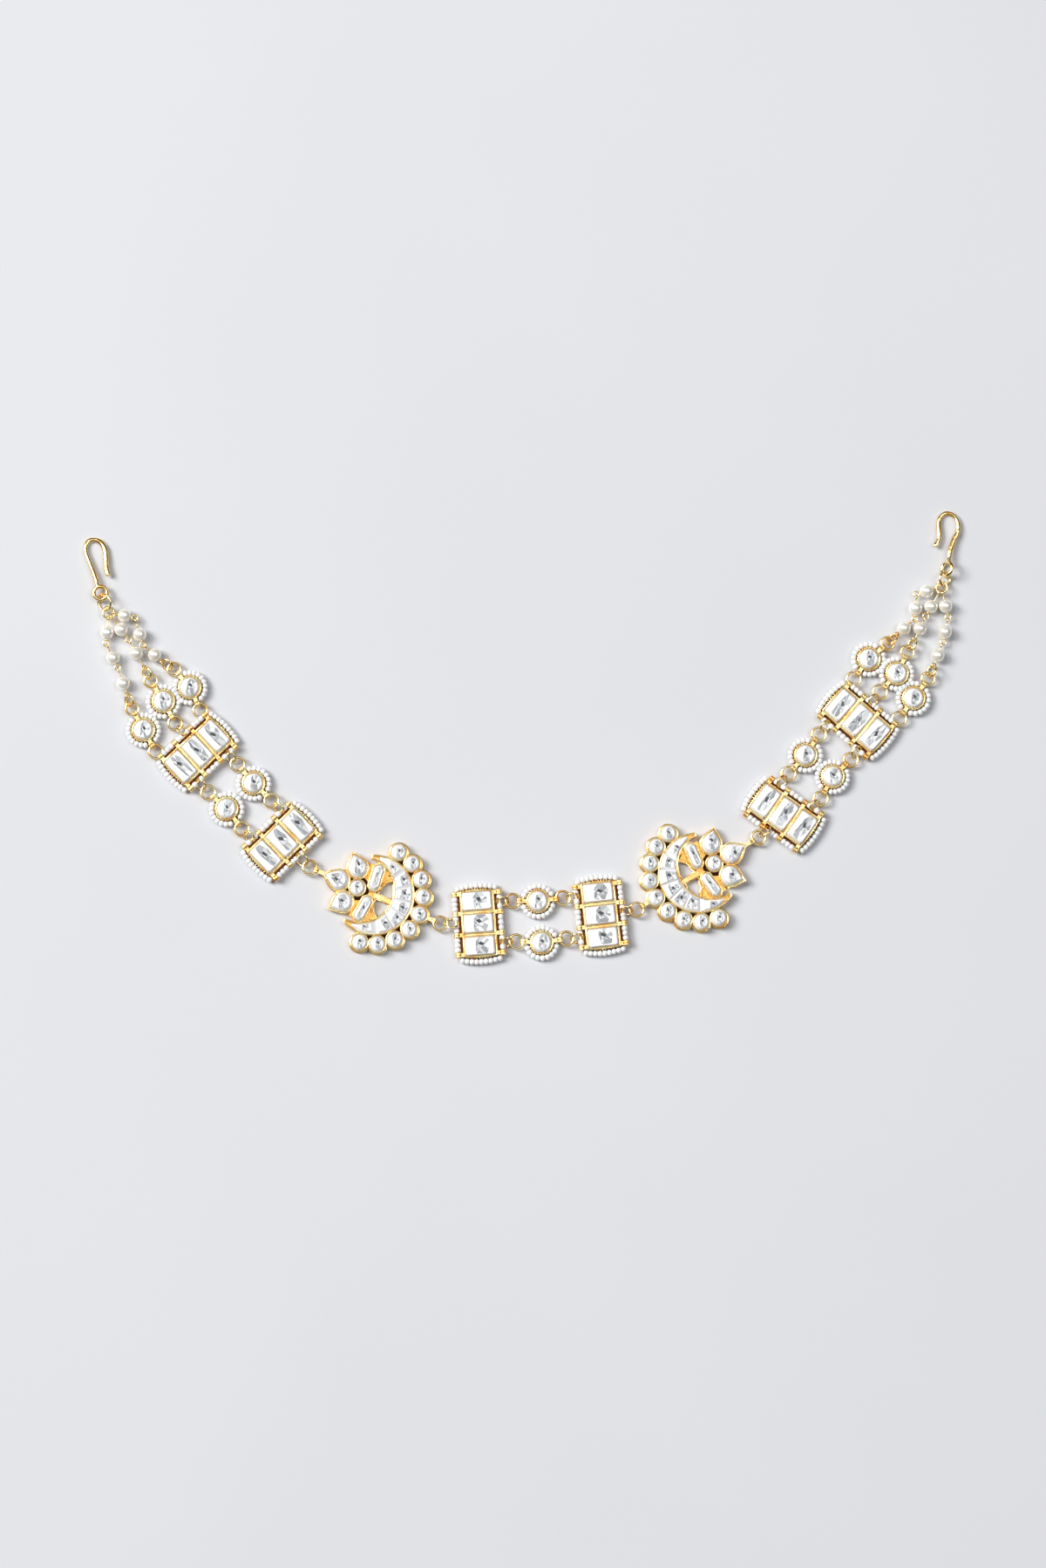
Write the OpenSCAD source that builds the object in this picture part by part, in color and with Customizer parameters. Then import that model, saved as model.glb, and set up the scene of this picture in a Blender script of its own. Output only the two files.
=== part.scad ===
// Bridal head ornament: an arc of stone plates, round charms and crescent motifs, joined by
// jump rings and closed at each end by pearl strands and a hook. It lies on its back on z = 0.
// X runs along the arc's width, Y towards the hooks, Z up. Millimetres and degrees.

/* [Plates] */
// Length of a plate along the chain.
plate_w = 9.8; // [8:0.1:12]
// Height of a plate across the band.
plate_h = 19.4; // [16:0.1:24]
// Height of the gold body above the table.
plate_t = 2.6; // [2:0.1:3.5]
// Height of one stone seat, across the band.
seat_h = 5.5; // [4.5:0.1:6]
// Gold between two stone seats.
divider = 0.95; // [0.6:0.05:1.5]
// Gold between a seat and the plate's edge.
border = 0.5; // [0.3:0.05:0.9]

/* [Charms] */
// Outer radius of a charm's cup at the top.
cup_r = 3.35; // [2.8:0.05:4]
// Radius of the stone in a charm.
charm_stone_r = 2.9; // [2.4:0.05:3.2]
// Distance from a charm's centre to the centre of each eye.
charm_eye = 5.3; // [5:0.05:6]

/* [Crescents] */
// Outer radius of one of the nine round settings.
round_r = 2.63; // [2.4:0.01:2.8]
// Radius of the arc on which the round settings lie.
round_arc = 14.2; // [13:0.1:15]
// Angle between two neighbouring round settings.
round_step = 20.8; // [20:0.1:21]
// Radius of a petal's round part.
petal_r = 3.25; // [3:0.05:3.4]

/* [Chains] */
// Height of the eyes and flat rings above the table.
link_z = 1.85; // [1.7:0.05:2]
// Radius of the pearls.
pearl_r = 2; // [1.8:0.05:2.1]
// Wire radius of a hook.
hook_wire = 0.56; // [0.4:0.02:0.6]

/* [Shown] */
// Sub-part to make, or all.

/* [Hidden] */
$fn = 48;
GOLD = [0.83, 0.64, 0.29];
GLASS = [0.92, 0.94, 0.96];
PEARL = [0.95, 0.93, 0.88];
seat_gap = 0.03;
// The same along the hollow side of the crescent's stones, where straight edges follow an arc.
chord_gap = 0.11;
// Eyes: grooved barrels that lie across the chain.
eye_r = 0.94;
eye_hole = 0.62;
eye_len = 1.5;
eye_groove = 0.22;
eye_bevel = 0.2;
// Necks: the strips that solder eyes to settings, and how far from the eye's centre they end.
neck_end = 0.8;
neck_w = 1.1;
neck_low = 1.0;
neck_high = 2.4;
// Bead wires on the two long sides of a plate, and the places of the eyes along them.
rod_u = 6.4;
rod_r = 0.28;
rod_half = 9.0;
rod_half_open = 6.7;
EYE_V = [-8.7, -3.05, 3.05, 8.7];
seat_floor = 1.1;
stone_corner = 0.45;
cup_taper = 0.25;
seat_pitch = seat_h + divider;
bulge = 0.35;
// Crescent, along its axis from the middle round setting.
moon_r = round_arc - round_r + 0.11;
moon_wall = 0.45;
round_wall = 0.33;
hollow_c = 18.2;
hollow_r = 9.35;
moon_end = 19.2;
moon_t = 2.4;
sheet_low = 0.3;
sheet_t = 0.75;
sheet_end = 18.6;
sheet_v = 8.2;
// How far the sheet reaches under the crescent's wall.
sheet_lap = 0.2;
BAGUETTE = [15.5, 4.8, 6];
baguette_len = 8.3;
baguette_w = 3.8;
baguette_wall = 0.4;
baguette_corner = 1.1;
baguette_seat_corner = 0.9;
centre_u = 19.4;
centre_r = 2.6;
centre_t = 2.8;
petal_wall = 0.42;
petal_tip_wall = 0.7;
// The bar that carries the flower across the hollow: length, width and height.
STRUT = [5.6, 1.2, 1.4];
// Petals: place of the bulb along and across the axis, direction of the tip, bulb to tip.
PETALS = [
    [25.0, 0, 0, 5.4],
    [21.5, 5.3, 49, 4.9],
    [21.5, -5.3, -49, 4.9],
];
outer_eye_u = -4.59;
tip_eye_u = 32.25;
WINDOW = [[7, 0.65], [13.5, 0.65], [12.7, 4.2], [10.7, 6.2], [7, 6.2]];
CUT = [[15.7, 0], [16.9, 0.55], [16.9, -0.55]];
// Stones: heights and insets of the rings of corners, from the foot to the table.
FLAT_CUT = [[1.12, 0.9], [2.15, 0], [2.4, 0], [2.9, 0.5], [3.45, 1.35]];
ROUND_CUT = [[1.12, 1.0], [2.2, 0], [2.45, 0], [2.95, 0.45], [3.45, 1.1]];
SMALL_CUT = [[1.12, 0.7], [2.15, 0], [2.4, 0], [2.9, 0.4], [3.4, 0.95]];
MOON_CUT = [[1.12, 0.7], [2.05, 0], [2.2, 0], [2.65, 0.3], [3.0, 0.7]];
// Directions between which the crescent's stones lie, half the gap there, and half their width.
MOON_STEPS = [-104, -61, -36, -12, 12, 36, 61, 104];
moon_gap = 0.7;
moon_stone_half = 1.8;

// Plates: place x, y and direction of the chain.
PLATES = [
    [-93.07, -5.3, -46.5],
    [-68.72, -31.15, -45.6],
    [-12.38, -54.82, 4.2],
    [22.49, -52.4, 6.3],
    [75.05, -23.4, 54.3],
    [96.45, 3.82, 48.5],
];
// Charms: place x, y and directions of the two eyes.
CHARMS = [
    [-108.71, 0.97, -60, 117.9],
    [-103.06, 9.28, -61.7, 121.9],
    [-95.49, 13.26, -65.3, 130.8],
    [-84.62, -21.83, -52.9, 138.7],
    [-77, -14.46, -44.1, 129.9],
    [4.56, -48.43, 7.4, 179],
    [5.65, -60.33, 9.5, 177.1],
    [81.43, -6.33, 57.2, -133],
    [89.16, -12.52, 42.9, -118.7],
    [99.82, 21.53, -127.5, 40.1],
    [107.86, 17.34, -132.9, 63.9],
    [112.56, 10.21, -124.6, 52.6],
];
// Crescents: place x, y of the middle round setting and direction of the axis.
CRESCENTS = [
    [-29.32, -52.25, 156.7],
    [38.38, -47.48, 30.6],
];
// Rings: centre x, y, z, direction, roll about it, ring radius and wire radius.
RINGS_LEFT_END = [
    [-105.11, -5.26, 1.85, 0, 0, 2, 0.38],
    [-92.48, 6.72, 1.85, 0, 0, 2, 0.38],
    [-97.58, 0.76, 1.85, 133.5, 55, 1.85, 0.3],
    [-99.65, 2.94, 1.85, 0, 0, 2, 0.38],
];
RINGS_LEFT = [
    [-92.12, -14.83, 1.85, -47.1, 55, 1.85, 0.3],
    [-90.03, -17.07, 1.85, 0, 0, 2, 0.38],
    [-78.18, -29.81, 1.85, 132.9, -55, 1.85, 0.3],
    [-80.27, -27.57, 1.85, 0, 0, 2, 0.38],
    [-83.67, -6.73, 1.85, -47.1, 55, 1.85, 0.3],
    [-81.62, -8.93, 1.85, 0, 0, 2, 0.38],
    [-69.78, -21.67, 1.85, 132.9, -55, 1.85, 0.3],
    [-71.83, -19.47, 1.85, 0, 0, 2, 0.38],
];
RINGS_CRESCENT_LEFT = [
    [-20.13, -54.73, 1.85, -178.3, 47.5, 2.05, 0.3],
    [-23.36, -54.82, 1.85, 0, 0, 2, 0.38],
    [-63.06, -36.45, 1.85, -44.3, 47.5, 2.05, 0.3],
    [-60.74, -38.72, 1.85, 0, 0, 2, 0.38],
];
RINGS_CENTRE = [
    [-4.5, -60.13, 1.85, 3.3, 55, 1.85, 0.3],
    [-1.54, -59.96, 1.85, 0, 0, 2, 0.38],
    [15.71, -58.98, 1.85, -176.7, -55, 1.85, 0.3],
    [12.75, -59.15, 1.85, 0, 0, 2, 0.38],
    [-5.48, -48.47, 1.85, 3.2, 55, 1.85, 0.3],
    [-2.64, -48.31, 1.85, 0, 0, 2, 0.38],
    [14.54, -47.34, 1.85, -176.8, -55, 1.85, 0.3],
    [11.7, -47.5, 1.85, 0, 0, 2, 0.38],
];
RINGS_CRESCENT_RIGHT = [
    [29.85, -51.2, 1.85, 8, 55, 1.85, 0.3],
    [32.78, -50.78, 1.85, 0, 0, 2, 0.38],
    [69.57, -28.23, 1.85, -134.4, 55, 1.85, 0.3],
    [67.73, -30.12, 1.85, 0, 0, 2, 0.38],
];
RINGS_RIGHT = [
    [84.03, -20.98, 1.85, 52.1, 55, 1.85, 0.3],
    [85.7, -18.84, 1.85, 0, 0, 2, 0.38],
    [96.09, -5.48, 1.85, -127.9, -55, 1.85, 0.3],
    [94.43, -7.62, 1.85, 0, 0, 2, 0.38],
    [74.69, -13.94, 1.85, 52.1, 55, 1.85, 0.3],
    [76.52, -11.6, 1.85, 0, 0, 2, 0.38],
    [87.17, 2.06, 1.85, -127.9, -55, 1.85, 0.3],
    [85.34, -0.28, 1.85, 0, 0, 2, 0.38],
];
RINGS_RIGHT_END = [
    [108.47, 4.28, 1.85, 0, 0, 2, 0.38],
    [95.44, 15.81, 1.85, 0, 0, 2, 0.38],
    [101.14, 9.69, 1.85, 52.5, 55, 1.85, 0.3],
    [102.96, 12.07, 1.85, 0, 0, 2, 0.38],
];
LINKS_LEFT = [
    [-120.29, 37.96, 2.1, -67, 44, 2.45, 0.36],
    [-119.06, 35.07, 2, -67, -6, 1.65, 0.36],
];
LINKS_RIGHT = [
    [121.94, 44.81, 2, -100.6, -42, 2.1, 0.36],
    [121.01, 42.32, 2, -110.6, 14, 1.6, 0.34],
];
RINGS_STRAND_LEFT_OUTER = [
    [-112.87, 9.51, 1.85, -69.6, 50, 1.7, 0.34],
    [-112.01, 7.21, 1.85, 0, 0, 1.85, 0.36],
];
RINGS_STRAND_LEFT_MIDDLE = [
    [-107.88, 17.47, 1.85, -63.7, 50, 1.7, 0.34],
    [-106.79, 15.27, 1.85, 0, 0, 1.85, 0.36],
];
RINGS_STRAND_LEFT_INNER = [
    [-102.03, 19.88, 1.85, -33.5, 50, 1.7, 0.34],
    [-100.1, 18.61, 1.85, 0, 0, 1.85, 0.36],
];
RINGS_STRAND_RIGHT_INNER = [
    [106.55, 27.36, 1.85, -135.9, 50, 1.7, 0.34],
    [105.22, 26.08, 1.85, 0, 0, 1.85, 0.36],
];
RINGS_STRAND_RIGHT_MIDDLE = [
    [112.22, 25.79, 1.85, -120.7, 50, 1.7, 0.34],
    [110.97, 23.68, 1.85, 0, 0, 1.85, 0.36],
];
RINGS_STRAND_RIGHT_OUTER = [
    [117.8, 18.07, 1.85, -112.8, 50, 1.7, 0.34],
    [116.85, 15.82, 1.85, 0, 0, 1.85, 0.36],
];
// Pearls on their pins: pearl x, y, first loop x, y, z and roll, last loop x, y and roll.
PINS_LEFT_OUTER = [
    [-119.48, 29.23, -119.13, 33.34, 2.07, 90, -119.74, 26.17, 0],
    [-117.67, 21.89, -119.29, 25.24, 2, 90, -116.34, 19.13, 0],
    [-114.66, 14.46, -115.99, 18.15, 2, 90, -113.44, 11.05, -45],
];
PINS_LEFT_MIDDLE = [
    [-115.43, 30.17, -118.03, 33.69, 1.96, 90, -113.19, 27.13, 0],
    [-111.03, 23.28, -112.68, 26.22, 2, 90, -108.6, 18.94, -45],
];
PINS_LEFT_INNER = [
    [-114.52, 34.22, -117.52, 34.88, 1.85, 90, -111.52, 33.57, 0],
    [-110.05, 28.69, -111.22, 32.58, 2, 90, -109.16, 25.75, 0],
    [-105.72, 22.79, -108.38, 25.07, 2, 90, -103.4, 20.79, -45],
];
PINS_RIGHT_INNER = [
    [116.63, 41.32, 119.55, 42.26, 1.63, 90, 113.71, 40.38, 0],
    [113.37, 36.29, 113.62, 39.35, 2, 90, 113.12, 33.23, 0],
    [110.03, 30.52, 112.34, 32.54, 2, 90, 107.73, 28.5, -45],
];
PINS_RIGHT_MIDDLE = [
    [117.86, 36.81, 120.13, 40.86, 1.93, 90, 116.36, 34.13, 0],
    [114.59, 30.42, 115.91, 33.19, 2, 90, 113.06, 27.2, -45],
];
PINS_RIGHT_OUTER = [
    [122.02, 36.96, 121.21, 40.63, 2.18, 90, 122.72, 33.79, 0],
    [121.82, 29.44, 122.51, 32.78, 2, 90, 121.2, 26.44, 0],
    [119.66, 22.63, 120.81, 25.48, 2, 90, 118.44, 19.59, -45],
];
loop_r = 0.8;
loop_wire = 0.22;
pin_wire = 0.2;
bore_r = 0.3;
pearl_z = 2;
// Hooks: eye centre x, y, z, direction, roll and ring radius, then the wire's bends x, y, z.
HOOK_EYE_LEFT = [-121.47, 40.75, 2.1, -67, 0, 1.9];
HOOK_BENDS_LEFT = [
    [-119.12, 45.82, 1.63],
    [-119.80, 47.95, 1.43],
    [-120.12, 52.20, 1.03],
    [-120.47, 54.00, 0.86],
    [-121.37, 55.42, 0.73],
    [-122.55, 56.30, 0.65],
    [-123.80, 56.57, 0.62],
    [-124.95, 56.22, 0.65],
    [-125.75, 55.25, 0.74],
    [-126.00, 53.82, 0.88],
    [-125.65, 52.07, 1.04],
    [-124.90, 50.07, 1.23],
    [-123.05, 45.45, 1.66],
    [-122.22, 42.50, 2.10],
];
HOOK_EYE_RIGHT = [122.5, 47.77, 2.15, -100.6, 50, 2];
HOOK_BENDS_RIGHT = [
    [119.10, 54.38, 1.54],
    [120.05, 55.95, 1.39],
    [120.48, 57.70, 1.23],
    [120.43, 59.82, 1.04],
    [120.40, 61.57, 0.87],
    [120.85, 63.07, 0.74],
    [121.78, 64.02, 0.65],
    [122.95, 64.32, 0.62],
    [124.20, 63.97, 0.65],
    [125.25, 63.00, 0.74],
    [125.93, 61.45, 0.89],
    [126.00, 59.70, 1.05],
    [125.60, 58.07, 1.20],
    [124.70, 56.50, 1.34],
    [123.50, 53.07, 1.66],
    [123.28, 51.20, 1.83],
    [122.87, 49.74, 2.15],
];
hook_eye_wire = 0.6;
// A hook's wire: corners round it, legs of the curve between two bends, and its narrower tip.
wire_sides = 12;
wire_legs = 3;
wire_tip = 0.6;

function oval(r, n) = [for (i = [0:n - 1]) r * [cos(i * 360 / n), sin(i * 360 / n)]];
function eight(w, h, c) = [
    [w / 2 - c, -h / 2], [w / 2, c - h / 2], [w / 2, h / 2 - c], [w / 2 - c, h / 2],
    [c - w / 2, h / 2], [-w / 2, h / 2 - c], [-w / 2, c - h / 2], [c - w / 2, -h / 2],
];
// A drop: a circle of radius r with straight sides that meet at a point t from its centre.
function drop_at(a, r, t) = let (b = acos(r / t), e = min(a, 360 - a)) e < b ? r / cos(e - b) : r;
function drop(r, t, n) = [
    for (i = [0:n - 1]) let (a = i * 360 / n) drop_at(a, r, t) * [cos(a), sin(a)],
];
// Distance from the arc's centre to the hollow's edge, in direction a.
function inner_at(a, r) =
    let (s = hollow_c - round_arc, c = s * cos(a)) c + sqrt(c * c + r * r - s * s);
// Corners of one stone of the crescent, between directions a and b.
function moon_piece(a, b, k) = concat(
    [for (i = [0:3]) (moon_r - moon_wall - seat_gap) * dir(a + (b - a) * i / 3)],
    [for (i = [3:-1:0]) let (e = a + (b - a) * i / 3)
        inner_at(e, hollow_r + moon_wall + chord_gap) * dir(e)]);
function dir(a) = [cos(a), sin(a)];
function mean(p) = [for (k = [0, 1]) [for (q = p) q[k]] * [for (q = p) 1] / len(p)];
function shrunk(p, k) = let (m = mean(p)) [for (q = p) m + k * (q - m)];
function lift(p, z) = [for (q = p) [q[0], q[1], z]];

// A closed solid through rings of corners that all have the same count.
module loft(rings) {
    n = len(rings[0]);
    m = len(rings);
    polyhedron(
        points = [for (r = rings) each r],
        faces = concat(
            [[for (i = [0:n - 1]) i]],
            [for (k = [0:m - 2], i = [0:n - 1])
                [k * n + i, (k + 1) * n + i, (k + 1) * n + (i + 1) % n, k * n + (i + 1) % n]],
            [[for (i = [n - 1:-1:0]) (m - 1) * n + i]]));
}
module round_stone(r, cut) loft([for (s = cut) lift(oval(r - s[1], 16), s[0])]);
module flat_stone(w, h, c, cut)
    loft([for (s = cut) lift(eight(w - 2 * s[1], h - 2 * s[1], min(c, 0.3 * w - 0.6 * s[1])), s[0])]);
module drop_stone(r, t, cut)
    loft([for (s = cut) lift(shrunk(drop(r, t, 16), 1 - s[1] / r), s[0])]);

module place(row, turn) translate([row[0], row[1], 0]) rotate([0, 0, turn]) children();

// A grooved barrel across the chain at distance u, with its hole when open.
module eye(u, v, open) {
    low = open ? eye_hole : 0;
    translate([u, v, link_z]) rotate([90, 0, 0]) rotate_extrude() polygon([
        [low, -eye_len / 2], [eye_r - eye_bevel, -eye_len / 2],
        [eye_r, eye_bevel - eye_len / 2], [eye_r, -eye_bevel], [eye_r - eye_groove, 0],
        [eye_r, eye_bevel], [eye_r, eye_len / 2 - eye_bevel],
        [eye_r - eye_bevel, eye_len / 2], [low, eye_len / 2]]);
}
// The strip that solders an eye to its setting, between two distances from the centre.
module neck(from, to, v)
    translate([min(from, to), v - neck_w / 2, neck_low])
        cube([abs(to - from), neck_w, neck_high - neck_low]);
module eyes_at(u, base) for (v = EYE_V) neck(sign(u) * base, u - sign(u) * neck_end, v);

module plate(i, open_side) {
    w = plate_w / 2;
    h = plate_h / 2;
    color(GOLD) place(PLATES[i], PLATES[i][2]) {
        difference() {
            linear_extrude(plate_t) polygon([
                [-w, -h + bulge], [-w / 2, -h + bulge / 4], [0, -h], [w / 2, -h + bulge / 4],
                [w, -h + bulge], [w, h - bulge], [w / 2, h - bulge / 4], [0, h],
                [-w / 2, h - bulge / 4], [-w, h - bulge]]);
            for (k = [-1:1]) translate([0, k * seat_pitch, seat_floor + plate_t / 2])
                cube([plate_w - 2 * border, seat_h, plate_t], center = true);
        }
        for (s = [-1, 1]) {
            eyes_at(s * rod_u, w - eye_bevel);
            for (v = EYE_V) eye(s * rod_u, v, s == open_side && abs(v) == max(EYE_V));
            half = s == open_side ? rod_half_open : rod_half;
            translate([s * rod_u, half, link_z]) rotate([90, 0, 0])
                cylinder(h = 2 * half, r = rod_r);
        }
    }
}
module plate_stones(i) color(GLASS) place(PLATES[i], PLATES[i][2])
    for (k = [-1:1]) translate([0, k * seat_pitch, 0])
        flat_stone(plate_w - 2 * (border + seat_gap), seat_h - 2 * seat_gap, stone_corner, FLAT_CUT);

module charm(i) color(GOLD) place(CHARMS[i], 0) {
    difference() {
        cylinder(h = plate_t, r1 = cup_r - cup_taper, r2 = cup_r);
        translate([0, 0, seat_floor]) cylinder(h = plate_t, r = charm_stone_r + seat_gap);
    }
    for (k = [2, 3]) rotate([0, 0, CHARMS[i][k]]) {
        neck(cup_r - cup_taper, charm_eye - neck_end, 0);
        eye(charm_eye, 0, true);
    }
}
module charm_stones(list) color(GLASS) for (i = list)
    place(CHARMS[i], CHARMS[i][2]) round_stone(charm_stone_r, ROUND_CUT);

// A round setting: a cup of radius r and height h at u, v.
module setting(u, v, r, h) translate([u, v, 0]) difference() {
    cylinder(h = h, r = r);
    translate([0, 0, seat_floor]) cylinder(h = h, r = r - round_wall);
}
module moon() {
    difference() {
        translate([round_arc, 0, 0]) cylinder(h = moon_t, r = moon_r);
        translate([hollow_c, 0, -1]) cylinder(h = moon_t + 2, r = hollow_r);
        translate([moon_end, -20, -1]) cube([20, 40, moon_t + 2]);
        difference() {
            translate([round_arc, 0, seat_floor]) cylinder(h = moon_t, r = moon_r - moon_wall);
            translate([hollow_c, 0, 0]) cylinder(h = moon_t + 2, r = hollow_r + moon_wall);
            translate([moon_end - moon_wall, -20, 0]) cube([20, 40, moon_t + 2]);
        }
    }
    difference() {
        intersection() {
            translate([hollow_c, 0, sheet_low]) cylinder(h = sheet_t, r = hollow_r + sheet_lap);
            translate([0, -sheet_v, 0]) cube([sheet_end, 2 * sheet_v, moon_t]);
        }
        translate([0, 0, -1]) linear_extrude(moon_t) polygon(WINDOW);
        translate([0, 0, -1]) linear_extrude(moon_t) polygon([for (p = WINDOW) [p[0], -p[1]]]);
        translate([0, 0, -1]) linear_extrude(moon_t) polygon(CUT);
    }
    translate([hollow_c - hollow_r - sheet_lap, -STRUT[1] / 2, sheet_low + 0.1]) cube(STRUT);
}
module crescent(i) color(GOLD) place(CRESCENTS[i], CRESCENTS[i][2]) {
    moon();
    for (k = [-4:4]) translate([round_arc, 0, 0]) rotate([0, 0, 180 + k * round_step])
        setting(round_arc, 0, round_r, plate_t);
    for (s = [-1, 1]) translate([BAGUETTE[0], s * BAGUETTE[1], 0]) rotate([0, 0, -s * BAGUETTE[2]])
        difference() {
            linear_extrude(plate_t) polygon(eight(baguette_w, baguette_len, baguette_corner));
            translate([0, 0, seat_floor]) linear_extrude(plate_t) polygon(eight(
                baguette_w - 2 * baguette_wall, baguette_len - 2 * baguette_wall,
                baguette_seat_corner));
        }
    setting(centre_u, 0, centre_r, centre_t);
    for (p = PETALS) translate([p[0], p[1], 0]) rotate([0, 0, p[2]]) difference() {
        linear_extrude(plate_t) polygon(drop(petal_r, p[3], 48));
        translate([0, 0, seat_floor]) linear_extrude(plate_t)
            polygon(drop(petal_r - petal_wall, p[3] - petal_tip_wall, 48));
    }
    neck(-round_r + cup_taper, outer_eye_u + neck_end, 0);
    eye(outer_eye_u, 0, true);
    neck(PETALS[0][0] + PETALS[0][3] - petal_tip_wall + 0.05, tip_eye_u - neck_end, 0);
    eye(tip_eye_u, 0, true);
}
module round_stones(i) color(GLASS) place(CRESCENTS[i], CRESCENTS[i][2])
    for (k = [-4:4]) translate([round_arc, 0, 0]) rotate([0, 0, 180 + k * round_step])
        translate([round_arc, 0, 0]) round_stone(round_r - round_wall - seat_gap, SMALL_CUT);
module moon_stones(i) color(GLASS) place(CRESCENTS[i], CRESCENTS[i][2])
    translate([round_arc, 0, 0]) for (k = [0:len(MOON_STEPS) - 2]) loft([for (s = MOON_CUT)
        lift(shrunk(moon_piece(180 + MOON_STEPS[k] + moon_gap, 180 + MOON_STEPS[k + 1] - moon_gap),
            1 - s[1] / moon_stone_half), s[0])]);
module flower_stones(i) color(GLASS) place(CRESCENTS[i], CRESCENTS[i][2]) {
    translate([centre_u, 0, 0]) round_stone(centre_r - round_wall - seat_gap, SMALL_CUT);
    for (s = [-1, 1]) translate([BAGUETTE[0], s * BAGUETTE[1], 0]) rotate([0, 0, -s * BAGUETTE[2]])
        flat_stone(baguette_w - 2 * (baguette_wall + seat_gap),
            baguette_len - 2 * (baguette_wall + seat_gap), baguette_seat_corner, SMALL_CUT);
    for (p = PETALS) translate([p[0], p[1], 0]) rotate([0, 0, p[2]])
        drop_stone(petal_r - petal_wall - seat_gap, p[3] - petal_tip_wall - 0.05, SMALL_CUT);
}

module ring(row) translate([row[0], row[1], row[2]]) rotate([row[4], 0, row[3]])
    rotate_extrude() translate([row[5], 0]) circle(row[6]);
module rings(rows) color(GOLD) for (row = rows) ring(row);

// A round bar from a to b.
module bar(a, b, r) {
    v = b - a;
    translate(a) rotate([0, acos(v[2] / norm(v)), atan2(v[1], v[0])])
        cylinder(h = norm(v), r = r);
}
// Centres of a pin's two loops.
function first(p) = [p[2], p[3], p[4]];
function last(p) = [p[6], p[7], pearl_z];
function flat(v) = [v[0], v[1], 0] / norm([v[0], v[1]]);
module pin(p) {
    u = flat(last(p) - first(p));
    bar(first(p) + loop_r * u, last(p) - loop_r * u, pin_wire);
    ring([p[2], p[3], p[4], atan2(u[1], u[0]), p[5], loop_r, loop_wire]);
    ring([p[6], p[7], pearl_z, atan2(u[1], u[0]), p[8], loop_r, loop_wire]);
}
module strand_wires(pins, rows) {
    color(GOLD) for (p = pins) pin(p);
    rings(rows);
}
module strand_pearls(pins) color(PEARL) for (p = pins) difference() {
    translate([p[0], p[1], pearl_z]) sphere(pearl_r);
    bar(first(p), last(p), bore_r);
}
// A drawn wire of radius r: rings of corners across the curve through its bends.
function unit(v) = v / norm(v);
function curved(path, legs) = let (n = len(path)) [
    for (i = [0:n - 2], j = [0:legs - 1]) let (
        a = path[max(i - 1, 0)], b = path[i], c = path[i + 1], d = path[min(i + 2, n - 1)],
        t = j / legs)
        b + t * (c - a) / 2 + t * t * (2 * a - 5 * b + 4 * c - d) / 2
            + t * t * t * (3 * b - a - 3 * c + d) / 2,
    path[n - 1]];
module drawn_wire(path, r) {
    n = len(path);
    loft([for (i = [0:n - 1]) let (
        way = unit(path[min(i + 1, n - 1)] - path[max(i - 1, 0)]),
        side = unit(cross(way, [0, 0, 1])), up = cross(way, side), wide = i == 0 ? wire_tip * r : r)
        [for (k = [0:wire_sides - 1]) let (a = 360 * k / wire_sides)
            path[i] + wide * (cos(a) * side + sin(a) * up)]]);
}
module hook(eye_row, bends) color(GOLD) {
    drawn_wire(curved(bends, wire_legs), hook_wire);
    ring([eye_row[0], eye_row[1], eye_row[2], eye_row[3], eye_row[4], eye_row[5], hook_eye_wire]);
}

module hook_left() hook(HOOK_EYE_LEFT, HOOK_BENDS_LEFT);
module hook_right() hook(HOOK_EYE_RIGHT, HOOK_BENDS_RIGHT);
module end_links_left() rings(LINKS_LEFT);
module end_links_right() rings(LINKS_RIGHT);
module pearls_left_outer() strand_pearls(PINS_LEFT_OUTER);
module wires_left_outer() strand_wires(PINS_LEFT_OUTER, RINGS_STRAND_LEFT_OUTER);
module pearls_left_middle() strand_pearls(PINS_LEFT_MIDDLE);
module wires_left_middle() strand_wires(PINS_LEFT_MIDDLE, RINGS_STRAND_LEFT_MIDDLE);
module pearls_left_inner() strand_pearls(PINS_LEFT_INNER);
module wires_left_inner() strand_wires(PINS_LEFT_INNER, RINGS_STRAND_LEFT_INNER);
module pearls_right_inner() strand_pearls(PINS_RIGHT_INNER);
module wires_right_inner() strand_wires(PINS_RIGHT_INNER, RINGS_STRAND_RIGHT_INNER);
module pearls_right_middle() strand_pearls(PINS_RIGHT_MIDDLE);
module wires_right_middle() strand_wires(PINS_RIGHT_MIDDLE, RINGS_STRAND_RIGHT_MIDDLE);
module pearls_right_outer() strand_pearls(PINS_RIGHT_OUTER);
module wires_right_outer() strand_wires(PINS_RIGHT_OUTER, RINGS_STRAND_RIGHT_OUTER);
module plate_1() plate(0, -1);
module plate_1_stones() plate_stones(0);
module plate_2() plate(1, 0);
module plate_2_stones() plate_stones(1);
module plate_3() plate(2, 0);
module plate_3_stones() plate_stones(2);
module plate_4() plate(3, 0);
module plate_4_stones() plate_stones(3);
module plate_5() plate(4, 0);
module plate_5_stones() plate_stones(4);
module plate_6() plate(5, 1);
module plate_6_stones() plate_stones(5);
module charm_1() charm(0);
module charm_2() charm(1);
module charm_3() charm(2);
module charm_4() charm(3);
module charm_5() charm(4);
module charm_6() charm(5);
module charm_7() charm(6);
module charm_8() charm(7);
module charm_9() charm(8);
module charm_10() charm(9);
module charm_11() charm(10);
module charm_12() charm(11);
module charm_stones_left_end() charm_stones([0, 1, 2]);
module charm_stones_left() charm_stones([3, 4]);
module charm_stones_centre() charm_stones([5, 6]);
module charm_stones_right() charm_stones([7, 8]);
module charm_stones_right_end() charm_stones([9, 10, 11]);
module crescent_left() crescent(0);
module crescent_left_round_stones() round_stones(0);
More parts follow.
